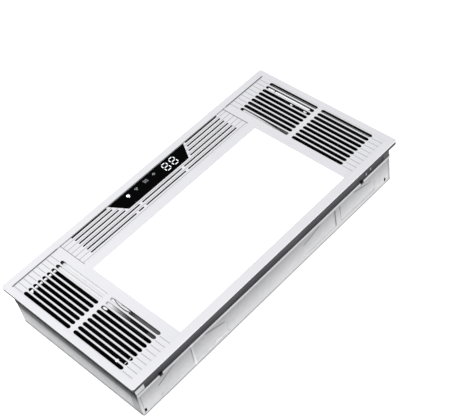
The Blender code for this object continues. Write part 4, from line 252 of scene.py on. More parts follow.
def zinc_group():
    """Galvanised sheet: crystals a few millimetres wide in two greys, with drawn-out rolling streaks."""
    group, entry, leave = start_group(
        "zinc_skin",
        [("Light", "Color", ZINC_LIGHT), ("Dark", "Color", ZINC_DARK), ("Crystal Scale", "Float", 150.0)],
        [("Colour", "Color"), ("Roughness", "Float"), ("Height", "Float")])
    place = own_place(group)
    crystals = group.nodes.new("ShaderNodeTexVoronoi")
    wire(group, place, crystals.inputs["Vector"])
    wire(group, entry.outputs["Crystal Scale"], crystals.inputs["Scale"])
    facet = group.nodes.new("ShaderNodeSeparateColor")
    wire(group, crystals.outputs["Color"], facet.inputs["Color"])
    crystal_share = product(group, facet.outputs["Red"], 0.30)
    streak_share = product(group, cloud(group, place, 30.0, 5.0, (0.35, 0.35, 6.0)), 0.40)
    cloud_share = product(group, cloud(group, place, 7.0, 2.0), 0.45)
    total = sums(group, "ADD", sums(group, "ADD", crystal_share, streak_share), cloud_share)
    colour = blend_colours(group, total, entry.outputs["Dark"], entry.outputs["Light"])
    height = sums(group, "ADD", product(group, cloud(group, place, 900.0, 2.0), 0.3), crystal_share)
    wire(group, colour, leave.inputs["Colour"])
    wire(group, spread(group, total, 0.2, 0.8, 0.50, 0.34), leave.inputs["Roughness"])
    wire(group, height, leave.inputs["Height"])
    return group


ZINC_SKIN = zinc_group()


def fresh_material(name):
    """A new node material with its tree and its main shader."""
    material = bpy.data.materials.new(name)
    material.use_nodes = True
    return material, material.node_tree, material.node_tree.nodes["Principled BSDF"]


def use_group(tree, group, **values):
    """Place a node group and set its own values."""
    node = tree.nodes.new("ShaderNodeGroup")
    node.node_tree = group
    for label, value in values.items():
        node.inputs[label.replace("_", " ")].default_value = value
    return node


def emboss(tree, shader, height, distance, strength=0.6):
    """Feed a height through a Bump node into the shader's normal."""
    bump = tree.nodes.new("ShaderNodeBump")
    bump.inputs["Distance"].default_value = distance
    bump.inputs["Strength"].default_value = strength
    wire(tree, height, bump.inputs["Height"])
    wire(tree, bump.outputs["Normal"], shader.inputs["Normal"])


def crease_group():
    """Painted shade in thin lines on the long walls: from point to point, in metres from a wall's left and
    foot, with the share of light that each takes away."""
    group, entry, leave = start_group("wall_crease_shade", [("Softness", "Float", 0.0016)], [("Mask", "Float")])
    own_x, own_y, z = own_axes(group)
    facing = spread(group, own_y, -0.001, 0.001, 1.0, -1.0)
    x = sums(group, "ADD", product(group, own_x, facing), FACE_LENGTH / 2)
    total = 0.0
    for x1, z1, x2, z2, weight in PRESSING_ENDS + RIB_LINES + CORNER_LINES:
        length = math.hypot(x2 - x1, z2 - z1)
        step_x, step_z = (x2 - x1) / length, (z2 - z1) / length
        from_x, from_z = sums(group, "SUBTRACT", x, x1), sums(group, "SUBTRACT", z, z1)
        across = sums(group, "SUBTRACT", product(group, from_x, step_z), product(group, from_z, step_x))
        along = sums(group, "ADD", product(group, from_x, step_x), product(group, from_z, step_z))
        off_line = sums(group, "ABSOLUTE", across)
        line = spread(group, off_line, 0.0004, entry.outputs["Softness"], weight, 0.0)
        total = largest(group, product(group, line, within(group, along, 0.0, length)), total)
    on_wall = sums(group, "GREATER_THAN", sums(group, "ABSOLUTE", own_y), WALL_START)
    wire(group, product(group, total, on_wall), leave.inputs["Mask"])
    return group


WALL_CREASE_SHADE = crease_group()


def end_wall_loss(tree, wide, z):
    """Painted shade on the two end walls: the light they lose under the frame's overhang and at their foot.
    Each spread gives two heights in metres and the share lost at each."""
    under_frame = spread(tree, z, 0.0340, 0.0455, 0.29, 0.96)
    by_foot = spread(tree, z, 0.0022, 0.0044, 0.80, 0.29)
    at_end = sums(tree, "GREATER_THAN", wide, END_INSIDE + SKIN_MARGIN)
    return product(tree, largest(tree, under_frame, by_foot), at_end), at_end


def wall_shade(tree, x, y, z, end_loss, at_end):
    """Painted shade and one painted highlight on the housing's outside: how much of its light each part
    keeps. Each spread gives two places in metres and the share kept, or for a fold lost, at each."""
    # Painted shade: lighter low down, darker upwards to the hem, as under the frame's overhang.
    overhang_shade = spread(tree, z, 0.012, 0.048, 1.20, 0.63)
    overhang_shade = largest(tree, overhang_shade, sums(tree, "GREATER_THAN", z, HEM_LEVEL))
    # Painted shade along the fold by the near corner of the end walls, and over the strip between that fold
    # and the corner.
    off_fold = sums(tree, "ABSOLUTE", sums(tree, "ADD", y, FOLD_PLACE))
    fold = largest(tree, spread(tree, off_fold, 0.0005, 0.0016, 0.45, 0.0),
                   spread(tree, y, -0.1236, -0.1230, 0.34, 0.0))
    # Painted shade: a dark line along the foot of the walls.
    foot = spread(tree, z, 0.0014, 0.0026, 0.26, 1.0)
    # Painted shade on the lower ledge of the pressings, which faces up and would catch the light.
    ledge = product(tree, sums(tree, "LESS_THAN", sums(tree, "ABSOLUTE", y), PRESSED_SIDE),
                    sums(tree, "LESS_THAN", z, LEDGE_LEVEL))
    # Painted highlight: the rib near the left end of the long walls is made lighter.
    off_rib = sums(tree, "ABSOLUTE", sums(tree, "ADD", x, RIB_PLACE))
    rib = spread(tree, off_rib, 0.0016, 0.0022, 1.24, 1.0)
    # Painted shade on the corner tabs above the hem at the right end, under the frame.
    tab = product(tree, sums(tree, "GREATER_THAN", z, TAB_LEVEL), sums(tree, "GREATER_THAN", x, TAB_START))
    # Painted shade in the creases of the pressings, the rib and the corners.
    crease_shade = use_group(tree, WALL_CREASE_SHADE)
    return product(tree, overhang_shade, kept(tree, end_loss), kept(tree, product(tree, fold, at_end)), foot,
                   kept(tree, ledge, 0.17), rib, kept(tree, crease_shade.outputs["Mask"]), kept(tree, tab, 0.88))


def galvanised(name, with_painted_shade=False):
    """Galvanised sheet, rubbed brighter along its folds; the housing's has painted shade: near black inside
    the box, and darker bands and lines, with one painted highlight, on its outer walls.
    """
    material, tree, shader = fresh_material(name)
    skin = use_group(tree, ZINC_SKIN)
    rub = use_group(tree, EDGE_RUB, Radius=0.0008, Amount=0.55)
    colour = blend_colours(tree, rub.outputs["Mask"], skin.outputs["Colour"], ZINC_RUBBED)
    roughness = skin.outputs["Roughness"]
    shader.inputs["Metallic"].default_value = ZINC_METALLIC
    if with_painted_shade:
        x, y, z = own_axes(tree)
        wide, deep = sums(tree, "ABSOLUTE", x), sums(tree, "ABSOLUTE", y)
        end_loss, at_end = end_wall_loss(tree, wide, z)
        shade = wall_shade(tree, x, y, z, end_loss, at_end)
        # Painted shade: everything inside the box is painted near black and matt.
        inside_shade = product(tree, sums(tree, "LESS_THAN", wide, END_INSIDE - SKIN_MARGIN),
                         sums(tree, "LESS_THAN", deep, SIDE_INSIDE),
                         sums(tree, "GREATER_THAN", z, FLOOR_TOP))
        colour = blend_colours(tree, inside_shade, blend_colours(tree, 1.0, colour, shade, "MULTIPLY"), INSIDE_SHADE_BLACK)
        roughness = spread(tree, inside_shade, 0.0, 1.0, roughness, 0.95)
        # Painted shade also takes the metal's reflection away inside the box and in the end walls' shaded
        # bands.
        metal_lost_to_shade = product(tree, largest(tree, inside_shade, end_loss), ZINC_METALLIC)
        wire(tree, sums(tree, "SUBTRACT", ZINC_METALLIC, metal_lost_to_shade), shader.inputs["Metallic"])
        shader.inputs["Specular IOR Level"].default_value = 0.05
    wire(tree, roughness, shader.inputs["Roughness"])
    wire(tree, colour, shader.inputs["Base Color"])
    emboss(tree, shader, skin.outputs["Height"], 0.00004)
    return material


WELD_GAP, BEVEL_ANGLE = 0.00001, math.radians(35.0)


def dress(name, material, soft=0.0):
    """Give a CAD node its finish, and soften its sharp edges by a small radius."""
    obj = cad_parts[name]
    for slot in obj.material_slots:
        slot.material = material
    if not obj.material_slots:
        obj.data.materials.append(material)
    if soft:
        weld = obj.modifiers.new("weld", "WELD")
        weld.merge_threshold = WELD_GAP
        bevel = obj.modifiers.new("soft_edges", "BEVEL")
        bevel.width = soft
        bevel.segments = 2
        bevel.limit_method = "ANGLE"
        bevel.angle_limit = BEVEL_ANGLE
        bevel.harden_normals = True


dress("housing", galvanised("zinc_housing", with_painted_shade=True), 0.0003)
for can in ("partition", "heater_motor", "extract_motor"):
    dress(can, galvanised("zinc_" + can))


# Mounting frame with its clips: dark grey moulding with a fine texture that grips the ceiling's flanges.
# It snaps into the box's rim, and black clips over the hem hold it there.

FRAME_GREY, FRAME_SHADE, CLIP_BLACK = grey(0.044, 0.050), grey(0.034, 0.040), grey(0.012, 0.013)


def moulded_group():
    """Moulded plastic: faint clouds between two colours, and a fine texture from the tool's surface."""
    group, entry, leave = start_group(
        "moulded_skin",
        [("Colour", "Color", FRAME_GREY), ("Shade", "Color", FRAME_SHADE), ("Grain", "Float", 1800.0),
         ("Matt", "Float", 0.6), ("Gloss", "Float", 0.45)],
        [("Colour", "Color"), ("Roughness", "Float"), ("Height", "Float")])
    place = own_place(group)
    clouds = cloud(group, place, 14.0, 4.0)
    share = spread(group, clouds, 0.32, 0.68, 0.0, 1.0)
    colour = blend_colours(group, share, entry.outputs["Shade"], entry.outputs["Colour"])
    roughness = spread(group, clouds, 0.3, 0.7, entry.outputs["Matt"], entry.outputs["Gloss"])
    grain = group.nodes.new("ShaderNodeTexNoise")
    grain.inputs["Detail"].default_value = 2.0
    wire(group, place, grain.inputs["Vector"])
    wire(group, entry.outputs["Grain"], grain.inputs["Scale"])
    wire(group, colour, leave.inputs["Colour"])
    wire(group, roughness, leave.inputs["Roughness"])
    wire(group, grain.outputs["Fac"], leave.inputs["Height"])
    return group


MOULDED_SKIN = moulded_group()


def plastic(name, colour, shade, grain, matt, gloss, depth, specular=0.5, wear_and_shade=0.0, worn_colour=None):
    """A moulded plastic finish with its own colours and texture; edges may be rubbed to another colour."""
    material, tree, shader = fresh_material(name)
    skin = use_group(tree, MOULDED_SKIN, Colour=colour, Shade=shade, Grain=grain, Matt=matt, Gloss=gloss)
    out = skin.outputs["Colour"]
    if wear_and_shade:
        rub = use_group(tree, EDGE_RUB, Radius=0.0005, Amount=wear_and_shade)
        out = blend_colours(tree, rub.outputs["Mask"], out, worn_colour)
    wire(tree, out, shader.inputs["Base Color"])
    wire(tree, skin.outputs["Roughness"], shader.inputs["Roughness"])
    shader.inputs["Specular IOR Level"].default_value = specular
    emboss(tree, shader, skin.outputs["Height"], depth)
    return material


frame_grey = plastic("frame_grey", FRAME_GREY, FRAME_SHADE, grain=1500.0, matt=0.70, gloss=0.55,
                     depth=0.00006, specular=0.25, wear_and_shade=0.35, worn_colour=grey(0.09, 0.10))
dress("mounting_frame", frame_grey, 0.0004)
clip_black = plastic("clip_black", CLIP_BLACK, grey(0.008, 0.009), grain=1500.0, matt=0.6, gloss=0.45,
                     depth=0.00004, specular=0.12, wear_and_shade=0.4, worn_colour=grey(0.05, 0.052))
for number in range(1, 5):
    dress(f"frame_clip_{number}", clip_black, 0.0003)


# Front panel and louvred intake cover: white moulded plastic with a soft sheen. The panel lies in the
# frame's lip; the cover snaps into its opening and carries the display.

WHITE, WHITE_SHADE = grey(0.800, 0.832), grey(0.775, 0.808)
PANEL_TOP = 0.0885
# Shares of painted shade below the face: in the grooves, in the slots and along the seams; LIT_LOSS is the
# share taken off where a strip of the left grille lies in the light.
GROOVE_SHADE, SLOT_SHADE, SEAM_SHADE = 0.54, 0.012, 0.28
RIM_LOSS, LIT_LOSS = 0.93, 0.80
SLOT_PITCH, FIRST_SLOT, SLOT_HALF = 0.0094, 0.0166, 0.00295
FIELD_END, FIELD_SIDE = 0.2889, 0.1364
GRILLE_START, GRILLE_SIDES, LIGHT_SURROUND = 0.1950, (-0.1126, 0.1130), (0.1880, 0.0620)
NEAR_COLUMN, FAR_COLUMN, SLOTS_WIDE = (-0.1088, -0.0075), (0.0068, 0.1095), (0.2050, 0.2880)
LIT_STRIP, LIT_FADE, LIT_END = (-0.2215, -0.1990), (-0.0450, -0.0050), 0.1030


def field_loss(tree, wide, y, z, top):
    """Painted shade below the face inside the border: fine grooves half dark, slot walls nearly black."""
    in_grille = product(tree, within(tree, y, *GRILLE_SIDES),
                        sums(tree, "GREATER_THAN", wide, GRILLE_START))
    steeper = sums(tree, "ADD", 1.0, product(tree, in_grille, 3.0))
    depth = product(tree, sums(tree, "SUBTRACT", top, z), steeper)
    groove = spread(tree, depth, 0.00008, 0.00042, 1.0 - GROOVE_SHADE, 0.0)
    slot = spread(tree, depth, 0.00056, 0.00080, GROOVE_SHADE, SLOT_SHADE)
    by_light = product(tree, sums(tree, "LESS_THAN", wide, LIGHT_SURROUND[0]),
                       sums(tree, "LESS_THAN", y, LIGHT_SURROUND[1]))
    loss = kept(tree, sums(tree, "ADD", slot, groove))
    return product(tree, loss, sums(tree, "LESS_THAN", wide, FIELD_END),
                   within(tree, y, -FIELD_SIDE, FIELD_SIDE), kept(tree, by_light))


def slot_rims(tree, wide, y):
    """Painted shade in a thin dark line round each slot of both grilles, counted inwards from the first
    slot.
    """
    counted = sums(tree, "DIVIDE", sums(tree, "SUBTRACT", FACE_LENGTH / 2 - FIRST_SLOT, wide), SLOT_PITCH)
    nearest = sums(tree, "SUBTRACT", sums(tree, "FRACT", sums(tree, "ADD", counted, 0.5)), 0.5)
    off_slot = product(tree, sums(tree, "ABSOLUTE", nearest), SLOT_PITCH)
    rim = spread(tree, off_slot, SLOT_HALF + 0.00020, SLOT_HALF + 0.00060, 1.0, 0.0)
    columns = largest(tree, within(tree, y, *NEAR_COLUMN), within(tree, y, *FAR_COLUMN))
    return product(tree, rim, columns, within(tree, wide, *SLOTS_WIDE), RIM_LOSS)


def seam_lines(tree, wide, y, z):
    """Painted shade along the seams at the far border's step and at the two ends of the cover."""
    step = product(tree, within(tree, y, 0.1355, FIELD_SIDE), within(tree, z, 0.08855, 0.0897))
    foot = product(tree, within(tree, y, 0.1351, FIELD_SIDE), sums(tree, "GREATER_THAN", wide, 0.1960))
    border = product(tree, largest(tree, step, foot), sums(tree, "LESS_THAN", wide, FIELD_END))
    cover_end = product(tree, within(tree, wide, 0.1881, 0.1892), within(tree, y, 0.0772, FIELD_SIDE))
    return product(tree, largest(tree, border, cover_end), 1.0 - SEAM_SHADE)


def recess_group():
    """Painted shade below the face, round the slots and along the seams; on a strip of the left grille that
    lies in the light most of it is taken off, so the strip stays paler.
    """
    group, entry, leave = start_group("recess_shade", [("Top", "Float", PANEL_TOP)], [("Shade", "Float")])
    x, y, z = own_axes(group)
    wide = sums(group, "ABSOLUTE", x)
    total = largest(group, field_loss(group, wide, y, z, entry.outputs["Top"]),
                    seam_lines(group, wide, y, z), slot_rims(group, wide, y))
    # Painted light: the strip of the left grille whose slot walls the guide behind lights.
    lit = product(group, within(group, x, *LIT_STRIP), spread(group, y, *LIT_FADE, 0.0, 1.0),
                  sums(group, "LESS_THAN", y, LIT_END))
    wire(group, kept(group, product(group, total, kept(group, lit, LIT_LOSS))), leave.inputs["Shade"])
    return group


RECESS_SHADE = recess_group()


def white_plastic(name, top):
    """White plastic with a slight cool tone and a very fine texture, with painted shade below its top."""
    material = plastic(name, WHITE, WHITE_SHADE, grain=2600.0, matt=0.46, gloss=0.36, depth=0.00002,
                       specular=0.30)
    tree = material.node_tree
    shader = tree.nodes["Principled BSDF"]
    skin = shader.inputs["Base Color"].links[0].from_socket
    shade = use_group(tree, RECESS_SHADE, Top=top).outputs["Shade"]
    wire(tree, blend_colours(tree, 1.0, skin, shade, "MULTIPLY"), shader.inputs["Base Color"])
    wire(tree, product(tree, shade, 0.05), shader.inputs["Coat Weight"])
    return material


dress("front_panel", white_plastic("white_panel", PANEL_TOP), 0.0002)
dress("intake_cover", white_plastic("white_cover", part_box("intake_cover")[1].z), 0.0002)


# Display: a polished black window with icons and two digits that glow through it. The window is held
# behind the cover by its flange, with the small board against its back.

WINDOW_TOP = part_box("display_window")[1].z
PRINT_THICK = 0.00004
FACE_WIDTH = 0.300
DIGIT_NEAR, DIGIT_FAR, BAR_WIDE = 0.2618, 0.2792, 0.0015
ICON_LEVEL = 0.2756


def polished_black(name):
    """Polished black plastic with faint wipe marks."""
    material, tree, shader = fresh_material(name)
    skin = use_group(tree, MOULDED_SKIN, Colour=grey(0.0009, 0.0012), Shade=grey(0.0006, 0.0008),
                     Grain=60.0, Matt=0.16, Gloss=0.06)
    wire(tree, skin.outputs["Colour"], shader.inputs["Base Color"])
    wire(tree, skin.outputs["Roughness"], shader.inputs["Roughness"])
    shader.inputs["Specular IOR Level"].default_value = 0.02
    emboss(tree, shader, skin.outputs["Height"], 0.00001, 0.2)
    return material


dress("display_window", polished_black("display_gloss"), 0.0002)


def glow(name, colour, strength):
    """Light that shows through the window, a little uneven."""
    material, tree, shader = fresh_material(name)
    dimmed = tuple(0.82 * part for part in colour[:3]) + (1.0,)
    tone = blend_colours(tree, cloud(tree, own_place(tree), 700.0, 2.0), dimmed, colour)
    wire(tree, tone, shader.inputs["Emission Color"])
    wire(tree, tone, shader.inputs["Base Color"])
    shader.inputs["Emission Strength"].default_value = strength
    shader.inputs["Roughness"].default_value = 0.3
    return material


def flat_shape(name, outlines, material, level=WINDOW_TOP + PRINT_THICK, thick=PRINT_THICK):
    """Thin flat shapes, from closed outlines in metres from the left near corner of the face."""
    curve = bpy.data.curves.new(name, "CURVE")
    curve.dimensions = "2D"
    curve.fill_mode = "BOTH"
    curve.extrude = thick / 2
    for outline in outlines:
        spline = curve.splines.new("POLY")
        spline.points.add(len(outline) - 1)
        for point, (x, y) in zip(spline.points, outline):
            point.co = (x - FACE_LENGTH / 2, y - FACE_WIDTH / 2, 0.0, 1.0)
        spline.use_cyclic_u = True
    obj = bpy.data.objects.new(name, curve)
    obj.location.z = level
    curve.materials.append(material)
    bpy.context.scene.collection.objects.link(obj)
    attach(obj, "unit")


def segment(x1, y1, x2, y2):
    """One bar of a digit, pointed at both ends, from one joint of the digit to the next."""
    start, end = Vector((x1, y1)), Vector((x2, y2))
    along = (end - start).normalized()
    across = Vector((-along.y, along.x)) * BAR_WIDE / 2
    shoulder, point = along * BAR_WIDE * 1.45, along * BAR_WIDE * 0.95
    first, last, tip, tail = start + shoulder, end - shoulder, start + point, end - point
    return [tuple(corner) for corner in (tip, first + across, last + across, tail, last - across,
                                         first - across)]


def digit_eight(left, right):
    """The seven bars of an eight, leaning a little."""
    lean = 0.0010
    middle = (DIGIT_NEAR + DIGIT_FAR) / 2
    joints = [(left, DIGIT_NEAR), (right, DIGIT_NEAR), (left + lean / 2, middle),
              (right + lean / 2, middle), (left + lean, DIGIT_FAR), (right + lean, DIGIT_FAR)]
    pairs = ((0, 1), (2, 3), (4, 5), (0, 2), (2, 4), (1, 3), (3, 5))
    return [segment(*joints[a], *joints[b]) for a, b in pairs]


digit_glow = glow("digit_glow", (0.93, 0.97, 1.0, 1.0), 0.66)
flat_shape("digit_left", digit_eight(0.3286, 0.3386), digit_glow)
flat_shape("digit_right", digit_eight(0.3454, 0.3554), digit_glow)


def arc(x, y, half_x, half_y, count=20, start=0.0, turn=360.0):
    """Points round a centre, on a circle or an oval or a part of it."""
    angles = [math.radians(start + turn * number / count) for number in range(count)]
    return [(x + half_x * math.cos(angle), y + half_y * math.sin(angle)) for angle in angles]


def corners(x1, y1, x2, y2):
    """The outline of a rectangle from two opposite corners."""
    return [(x1, y1), (x2, y1), (x2, y2), (x1, y2)]


def wave(x, count=12):
    """One upright wavy band."""
    swing, tall, wide = 0.0007, 0.0072, 0.0011
    side = [(x + swing * math.sin(step * 1.05), ICON_LEVEL - tall / 2 + tall * step / count)
            for step in range(count + 1)]
    return side + [(a + wide, b) for a, b in reversed(side)]


def blade(start):
    """One blade of the fan's icon."""
    return [(0.2695, ICON_LEVEL)] + arc(0.2695, ICON_LEVEL, 0.0032, 0.0032, 6, start, 75.0)


bright_icon = glow("bright_icon", (0.95, 0.98, 1.0, 1.0), 1.0)
dim_icon = glow("dim_icon", (0.26, 0.28, 0.30, 1.0), 0.34)
flat_shape("light_icon", [arc(0.2505, ICON_LEVEL, 0.0028, 0.0028), corners(0.2493, 0.2721, 0.2517, 0.2710)],
           bright_icon)
flat_shape("fan_icon", [blade(start) for start in (0.0, 120.0, 240.0)], dim_icon)
flat_shape("warm_icon", [wave(0.2873 + number * 0.0030) for number in range(3)], dim_icon)
flat_shape("draw_icon", [[(0.3064, 0.2757), (0.3098, 0.2791), (0.3132, 0.2757), (0.3124, 0.2749),
                          (0.3103, 0.2770), (0.3103, 0.2726), (0.3093, 0.2726), (0.3093, 0.2770),
                          (0.3072, 0.2749)]], dim_icon)


# Flat light: a milk-white diffuser that glows evenly, over a clear guide and two strips of light chips in
# a folded aluminium tray that is screwed under the panel.


def milk_glow():
    """Milky sheet lit from behind, with a trace of unevenness."""
    material, tree, shader = fresh_material("milk_glow")
    tone = blend_colours(tree, cloud(tree, own_place(tree), 5.0, 2.0), (0.97, 0.98, 1.0, 1.0), PURE_WHITE)
    wire(tree, tone, shader.inputs["Emission Color"])
    shader.inputs["Emission Strength"].default_value = 0.75
    shader.inputs["Base Color"].default_value = grey(0.90, 0.91)
    shader.inputs["Roughness"].default_value = 0.5
    return material


dress("light_diffuser", milk_glow(), 0.0003)


def mill_metal(name, light, dark, smooth, rough, stretch):
    """Bare metal with drawn-out rolling or turning marks."""
    material, tree, shader = fresh_material(name)
    marks = cloud(tree, own_place(tree), 120.0, 4.0, stretch)
    wire(tree, blend_colours(tree, marks, dark, light), shader.inputs["Base Color"])
    wire(tree, spread(tree, marks, 0.3, 0.7, rough, smooth), shader.inputs["Roughness"])
    shader.inputs["Metallic"].default_value = 1.0
    emboss(tree, shader, marks, 0.00002, 0.4)
    return material


dress("light_tray", mill_metal("tray_aluminium", grey(0.80, 0.81), grey(0.66, 0.68), smooth=0.28,
                               rough=0.42, stretch=(1.0, 18.0, 1.0)))


def clear_sheet():
    """Clear acrylic with a faint dot pattern that lets the light out."""
    material, tree, shader = fresh_material("clear_guide")
    dots = tree.nodes.new("ShaderNodeTexVoronoi")
    dots.inputs["Scale"].default_value = 400.0
    dots.inputs["Randomness"].default_value = 0.1
    wire(tree, own_place(tree), dots.inputs["Vector"])
    spots = spread(tree, dots.outputs["Distance"], 0.20, 0.28, 1.0, 0.0)
    colour = blend_colours(tree, spots, (0.80, 0.87, 0.90, 1.0), (0.92, 0.94, 0.95, 1.0))
    wire(tree, colour, shader.inputs["Base Color"])
    wire(tree, spread(tree, spots, 0.0, 1.0, 0.08, 0.6), shader.inputs["Roughness"])
    return material


dress("light_guide", clear_sheet())

STRIPS_MIDDLE, CHIP_SIDE = 0.0341, 0.0958


def chip_strip():
    """White strip, yellow on its inner side, where the row of light chips lies."""
    material, tree, shader = fresh_material("chip_strip")
    y = own_axes(tree)[1]
    off_middle = sums(tree, "ABSOLUTE", sums(tree, "ADD", y, STRIPS_MIDDLE))
    grain = cloud(tree, own_place(tree), 600.0, 2.0)
    yellow = blend_colours(tree, grain, (0.82, 0.62, 0.14, 1.0), (0.90, 0.74, 0.25, 1.0))
    white = blend_colours(tree, grain, grey(0.76, 0.74), grey(0.84, 0.82))
    chips = sums(tree, "LESS_THAN", off_middle, CHIP_SIDE)
    wire(tree, blend_colours(tree, chips, white, yellow), shader.inputs["Base Color"])
    shader.inputs["Roughness"].default_value = 0.35
    return material


strip_finish = chip_strip()
dress("light_strip_near", strip_finish)
dress("light_strip_far", strip_finish)


# Screws, latches and shafts: steel, zinc plated or ground bright. The screws go through the motors' feet
# and the tray; the two latches sit on the frame's near side; the shafts are pressed into their wheels.

TURNED = (1.0, 1.0, 6.0)
bright_steel = mill_metal("bright_steel", grey(0.66, 0.67), grey(0.48, 0.50), 0.22, 0.36, TURNED)
for name in ("tray_screw_1", "tray_screw_2", "motor_screw_1", "motor_screw_2", "motor_screw_3",
             "extract_screw_1", "extract_screw_2", "extract_screw_3", "heater_shaft", "extract_shaft"):
    dress(name, bright_steel)
latch_zinc = mill_metal("latch_zinc", grey(0.30, 0.31), grey(0.20, 0.21), 0.34, 0.50, TURNED)
for name in ("panel_latch_1", "panel_latch_2"):
    dress(name, latch_zinc, 0.0002)


# Warm air unit: two end plates, elbow, lip, scroll and tongue in black painted sheet, the cross-flow fan in
# grey plastic, and the ceramic heating core with aluminium fins between heat-proof caps.

black_sheet = plastic("black_sheet", grey(0.006, 0.007), grey(0.004, 0.005), grain=900.0, matt=0.85,
                      gloss=0.7, depth=0.00005, specular=0.12, wear_and_shade=0.3, worn_colour=grey(0.02, 0.021))
for name in ("near_end_plate", "far_end_plate", "outlet_elbow", "outlet_lip", "fan_scroll", "fan_tongue"):
    dress(name, black_sheet)

wheel_grey = plastic("wheel_grey", grey(0.030, 0.032), grey(0.022, 0.024), grain=1200.0, matt=0.7,
                     gloss=0.55, depth=0.00004, specular=0.2)
for name in ("heater_fan", "extract_wheel", "backdraught_flap"):
    dress(name, wheel_grey)

dress("heating_core", mill_metal("fin_aluminium", grey(0.30, 0.31), grey(0.18, 0.19), smooth=0.4, rough=0.6,
                                 stretch=(1.0, 1.0, 12.0)))
ceramic = plastic("heat_proof_cap", (0.35, 0.34, 0.33, 1.0), (0.28, 0.27, 0.26, 1.0), grain=500.0,
                  matt=0.85, gloss=0.7, depth=0.00010)
dress("heater_cap_near", ceramic, 0.0004)
dress("heater_cap_far", ceramic, 0.0004)
dress("thermal_cutout", clip_black, 0.0003)

rubber = plastic("rubber", grey(0.030, 0.032), grey(0.022, 0.024), grain=700.0, matt=0.95, gloss=0.8,
                 depth=0.00006)
dress("fan_bearing", rubber)
dress("cable_grommet", rubber)


# Guides under the grilles: white mouldings that lead the warm air up and the room air down. They snap to
# the panel from behind and show through the slots, glowing with painted light; thin pieces on them stand
# for their smallest details, and dark ones are painted shade.


def white_with_painted_light(name, strength, low=-0.0200, high=-0.0100, near_y=-1.0, far_y=-0.9, edge=1.0):
    """White moulding that glows with painted light for the light that the slots let in: the glow fades from
    high to low, from far_y to near_y, and to the share edge everywhere but on the far rim of the left
    guide; painted shade darkens its colour towards near_y and below low."""
    material = plastic(name, grey(0.84, 0.86), grey(0.79, 0.81), grain=2200.0, matt=0.5, gloss=0.4,
                       depth=0.00003)
    tree = material.node_tree
    shader = tree.nodes["Principled BSDF"]
    skin = shader.inputs["Base Color"].links[0].from_socket
    x, y, z = own_axes(tree)
    far_rim = product(tree, spread(tree, y, 0.0960, 0.0990, 0.0, 1.0), sums(tree, "LESS_THAN", x, -0.2225))
    # Painted light: the glow that stands for the light the slots let in.
    painted_light_share = product(tree, spread(tree, z, low, high, 0.0, 1.0), spread(tree, y, near_y, far_y, 0.06, 1.0),
                   spread(tree, far_rim, 0.0, 1.0, edge, 1.0))
    # Painted shade: the colour darkens towards near_y and below low.
    wear_and_shade = product(tree, spread(tree, y, near_y, far_y, 0.20, 1.0),
                   spread(tree, z, low - 0.008, low + 0.003, 0.06, 1.0))
    wire(tree, blend_colours(tree, 1.0, skin, painted_light_share, "MULTIPLY"), shader.inputs["Emission Color"])
    wire(tree, blend_colours(tree, 1.0, skin, wear_and_shade, "MULTIPLY"), shader.inputs["Base Color"])
    shader.inputs["Emission Strength"].default_value = strength
    return material


# Painted light: the guides, the rib and the small pieces on them glow with the light the slots let in.
dress("outlet_guide", white_with_painted_light("outlet_guide_white", 0.60, low=0.0800, high=0.0845, near_y=-0.098,
                                far_y=-0.018, edge=0.14), 0.0003)
dress("inlet_guide", white_with_painted_light("inlet_guide_white", 0.18, low=0.0700, high=0.0850), 0.0003)
dress("inlet_rib", white_with_painted_light("inlet_rib_white", 0.50, low=0.0700, high=0.0850), 0.0003)

COVER_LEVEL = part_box("outlet_guide")[1].z
SEAM_THICK = 0.00012
SKIN_THICK = 0.00004


def band(points, widths):
    """The closed outline of a band along a row of points, as wide at each as its width says."""
    left, right = [], []
    for number, (point, wide) in enumerate(zip(points, widths)):
        before, after = points[max(number - 1, 0)], points[min(number + 1, len(points) - 1)]
        along = (Vector(after) - Vector(before)).normalized()
        across = Vector((-along.y, along.x)) * wide / 2
        left.append(tuple(Vector(point) + across))
        right.append(tuple(Vector(point) - across))
    return left + right[::-1]


# Painted shade: thin near-black pieces for the shadow lines along the seams on the outlet guide and for the
# gap at its far end.
seam_shade_black = plastic("seam_shade_black", grey(0.020, 0.024), grey(0.010, 0.013), grain=800.0, matt=0.8, gloss=0.6,
                     depth=0.00002)
cover_line = [(0.0952, 0.1440), (0.0940, 0.1395), (0.0927, 0.1348), (0.0914, 0.1290), (0.0908, 0.1230),
              (0.0907, 0.1160), (0.0912, 0.1100), (0.0924, 0.1040)]
cover_widths = [0.0008, 0.0011, 0.0012, 0.0012, 0.0012, 0.0013, 0.0015, 0.0020]
lens_line = [(0.0944, 0.1245), (0.0951, 0.1170), (0.0951, 0.1094), (0.0942, 0.1030)]
lens_widths = [0.0006, 0.0009, 0.0012, 0.0020]
for name, outline in (("cover_seam", band(cover_line, cover_widths)),
                      ("lens_seam", band(lens_line, lens_widths)),
                      ("outlet_far_gap", corners(0.0785, 0.2578, 0.1000, 0.2680))):
    flat_shape(name, [outline], seam_shade_black, COVER_LEVEL + SEAM_THICK, SEAM_THICK)

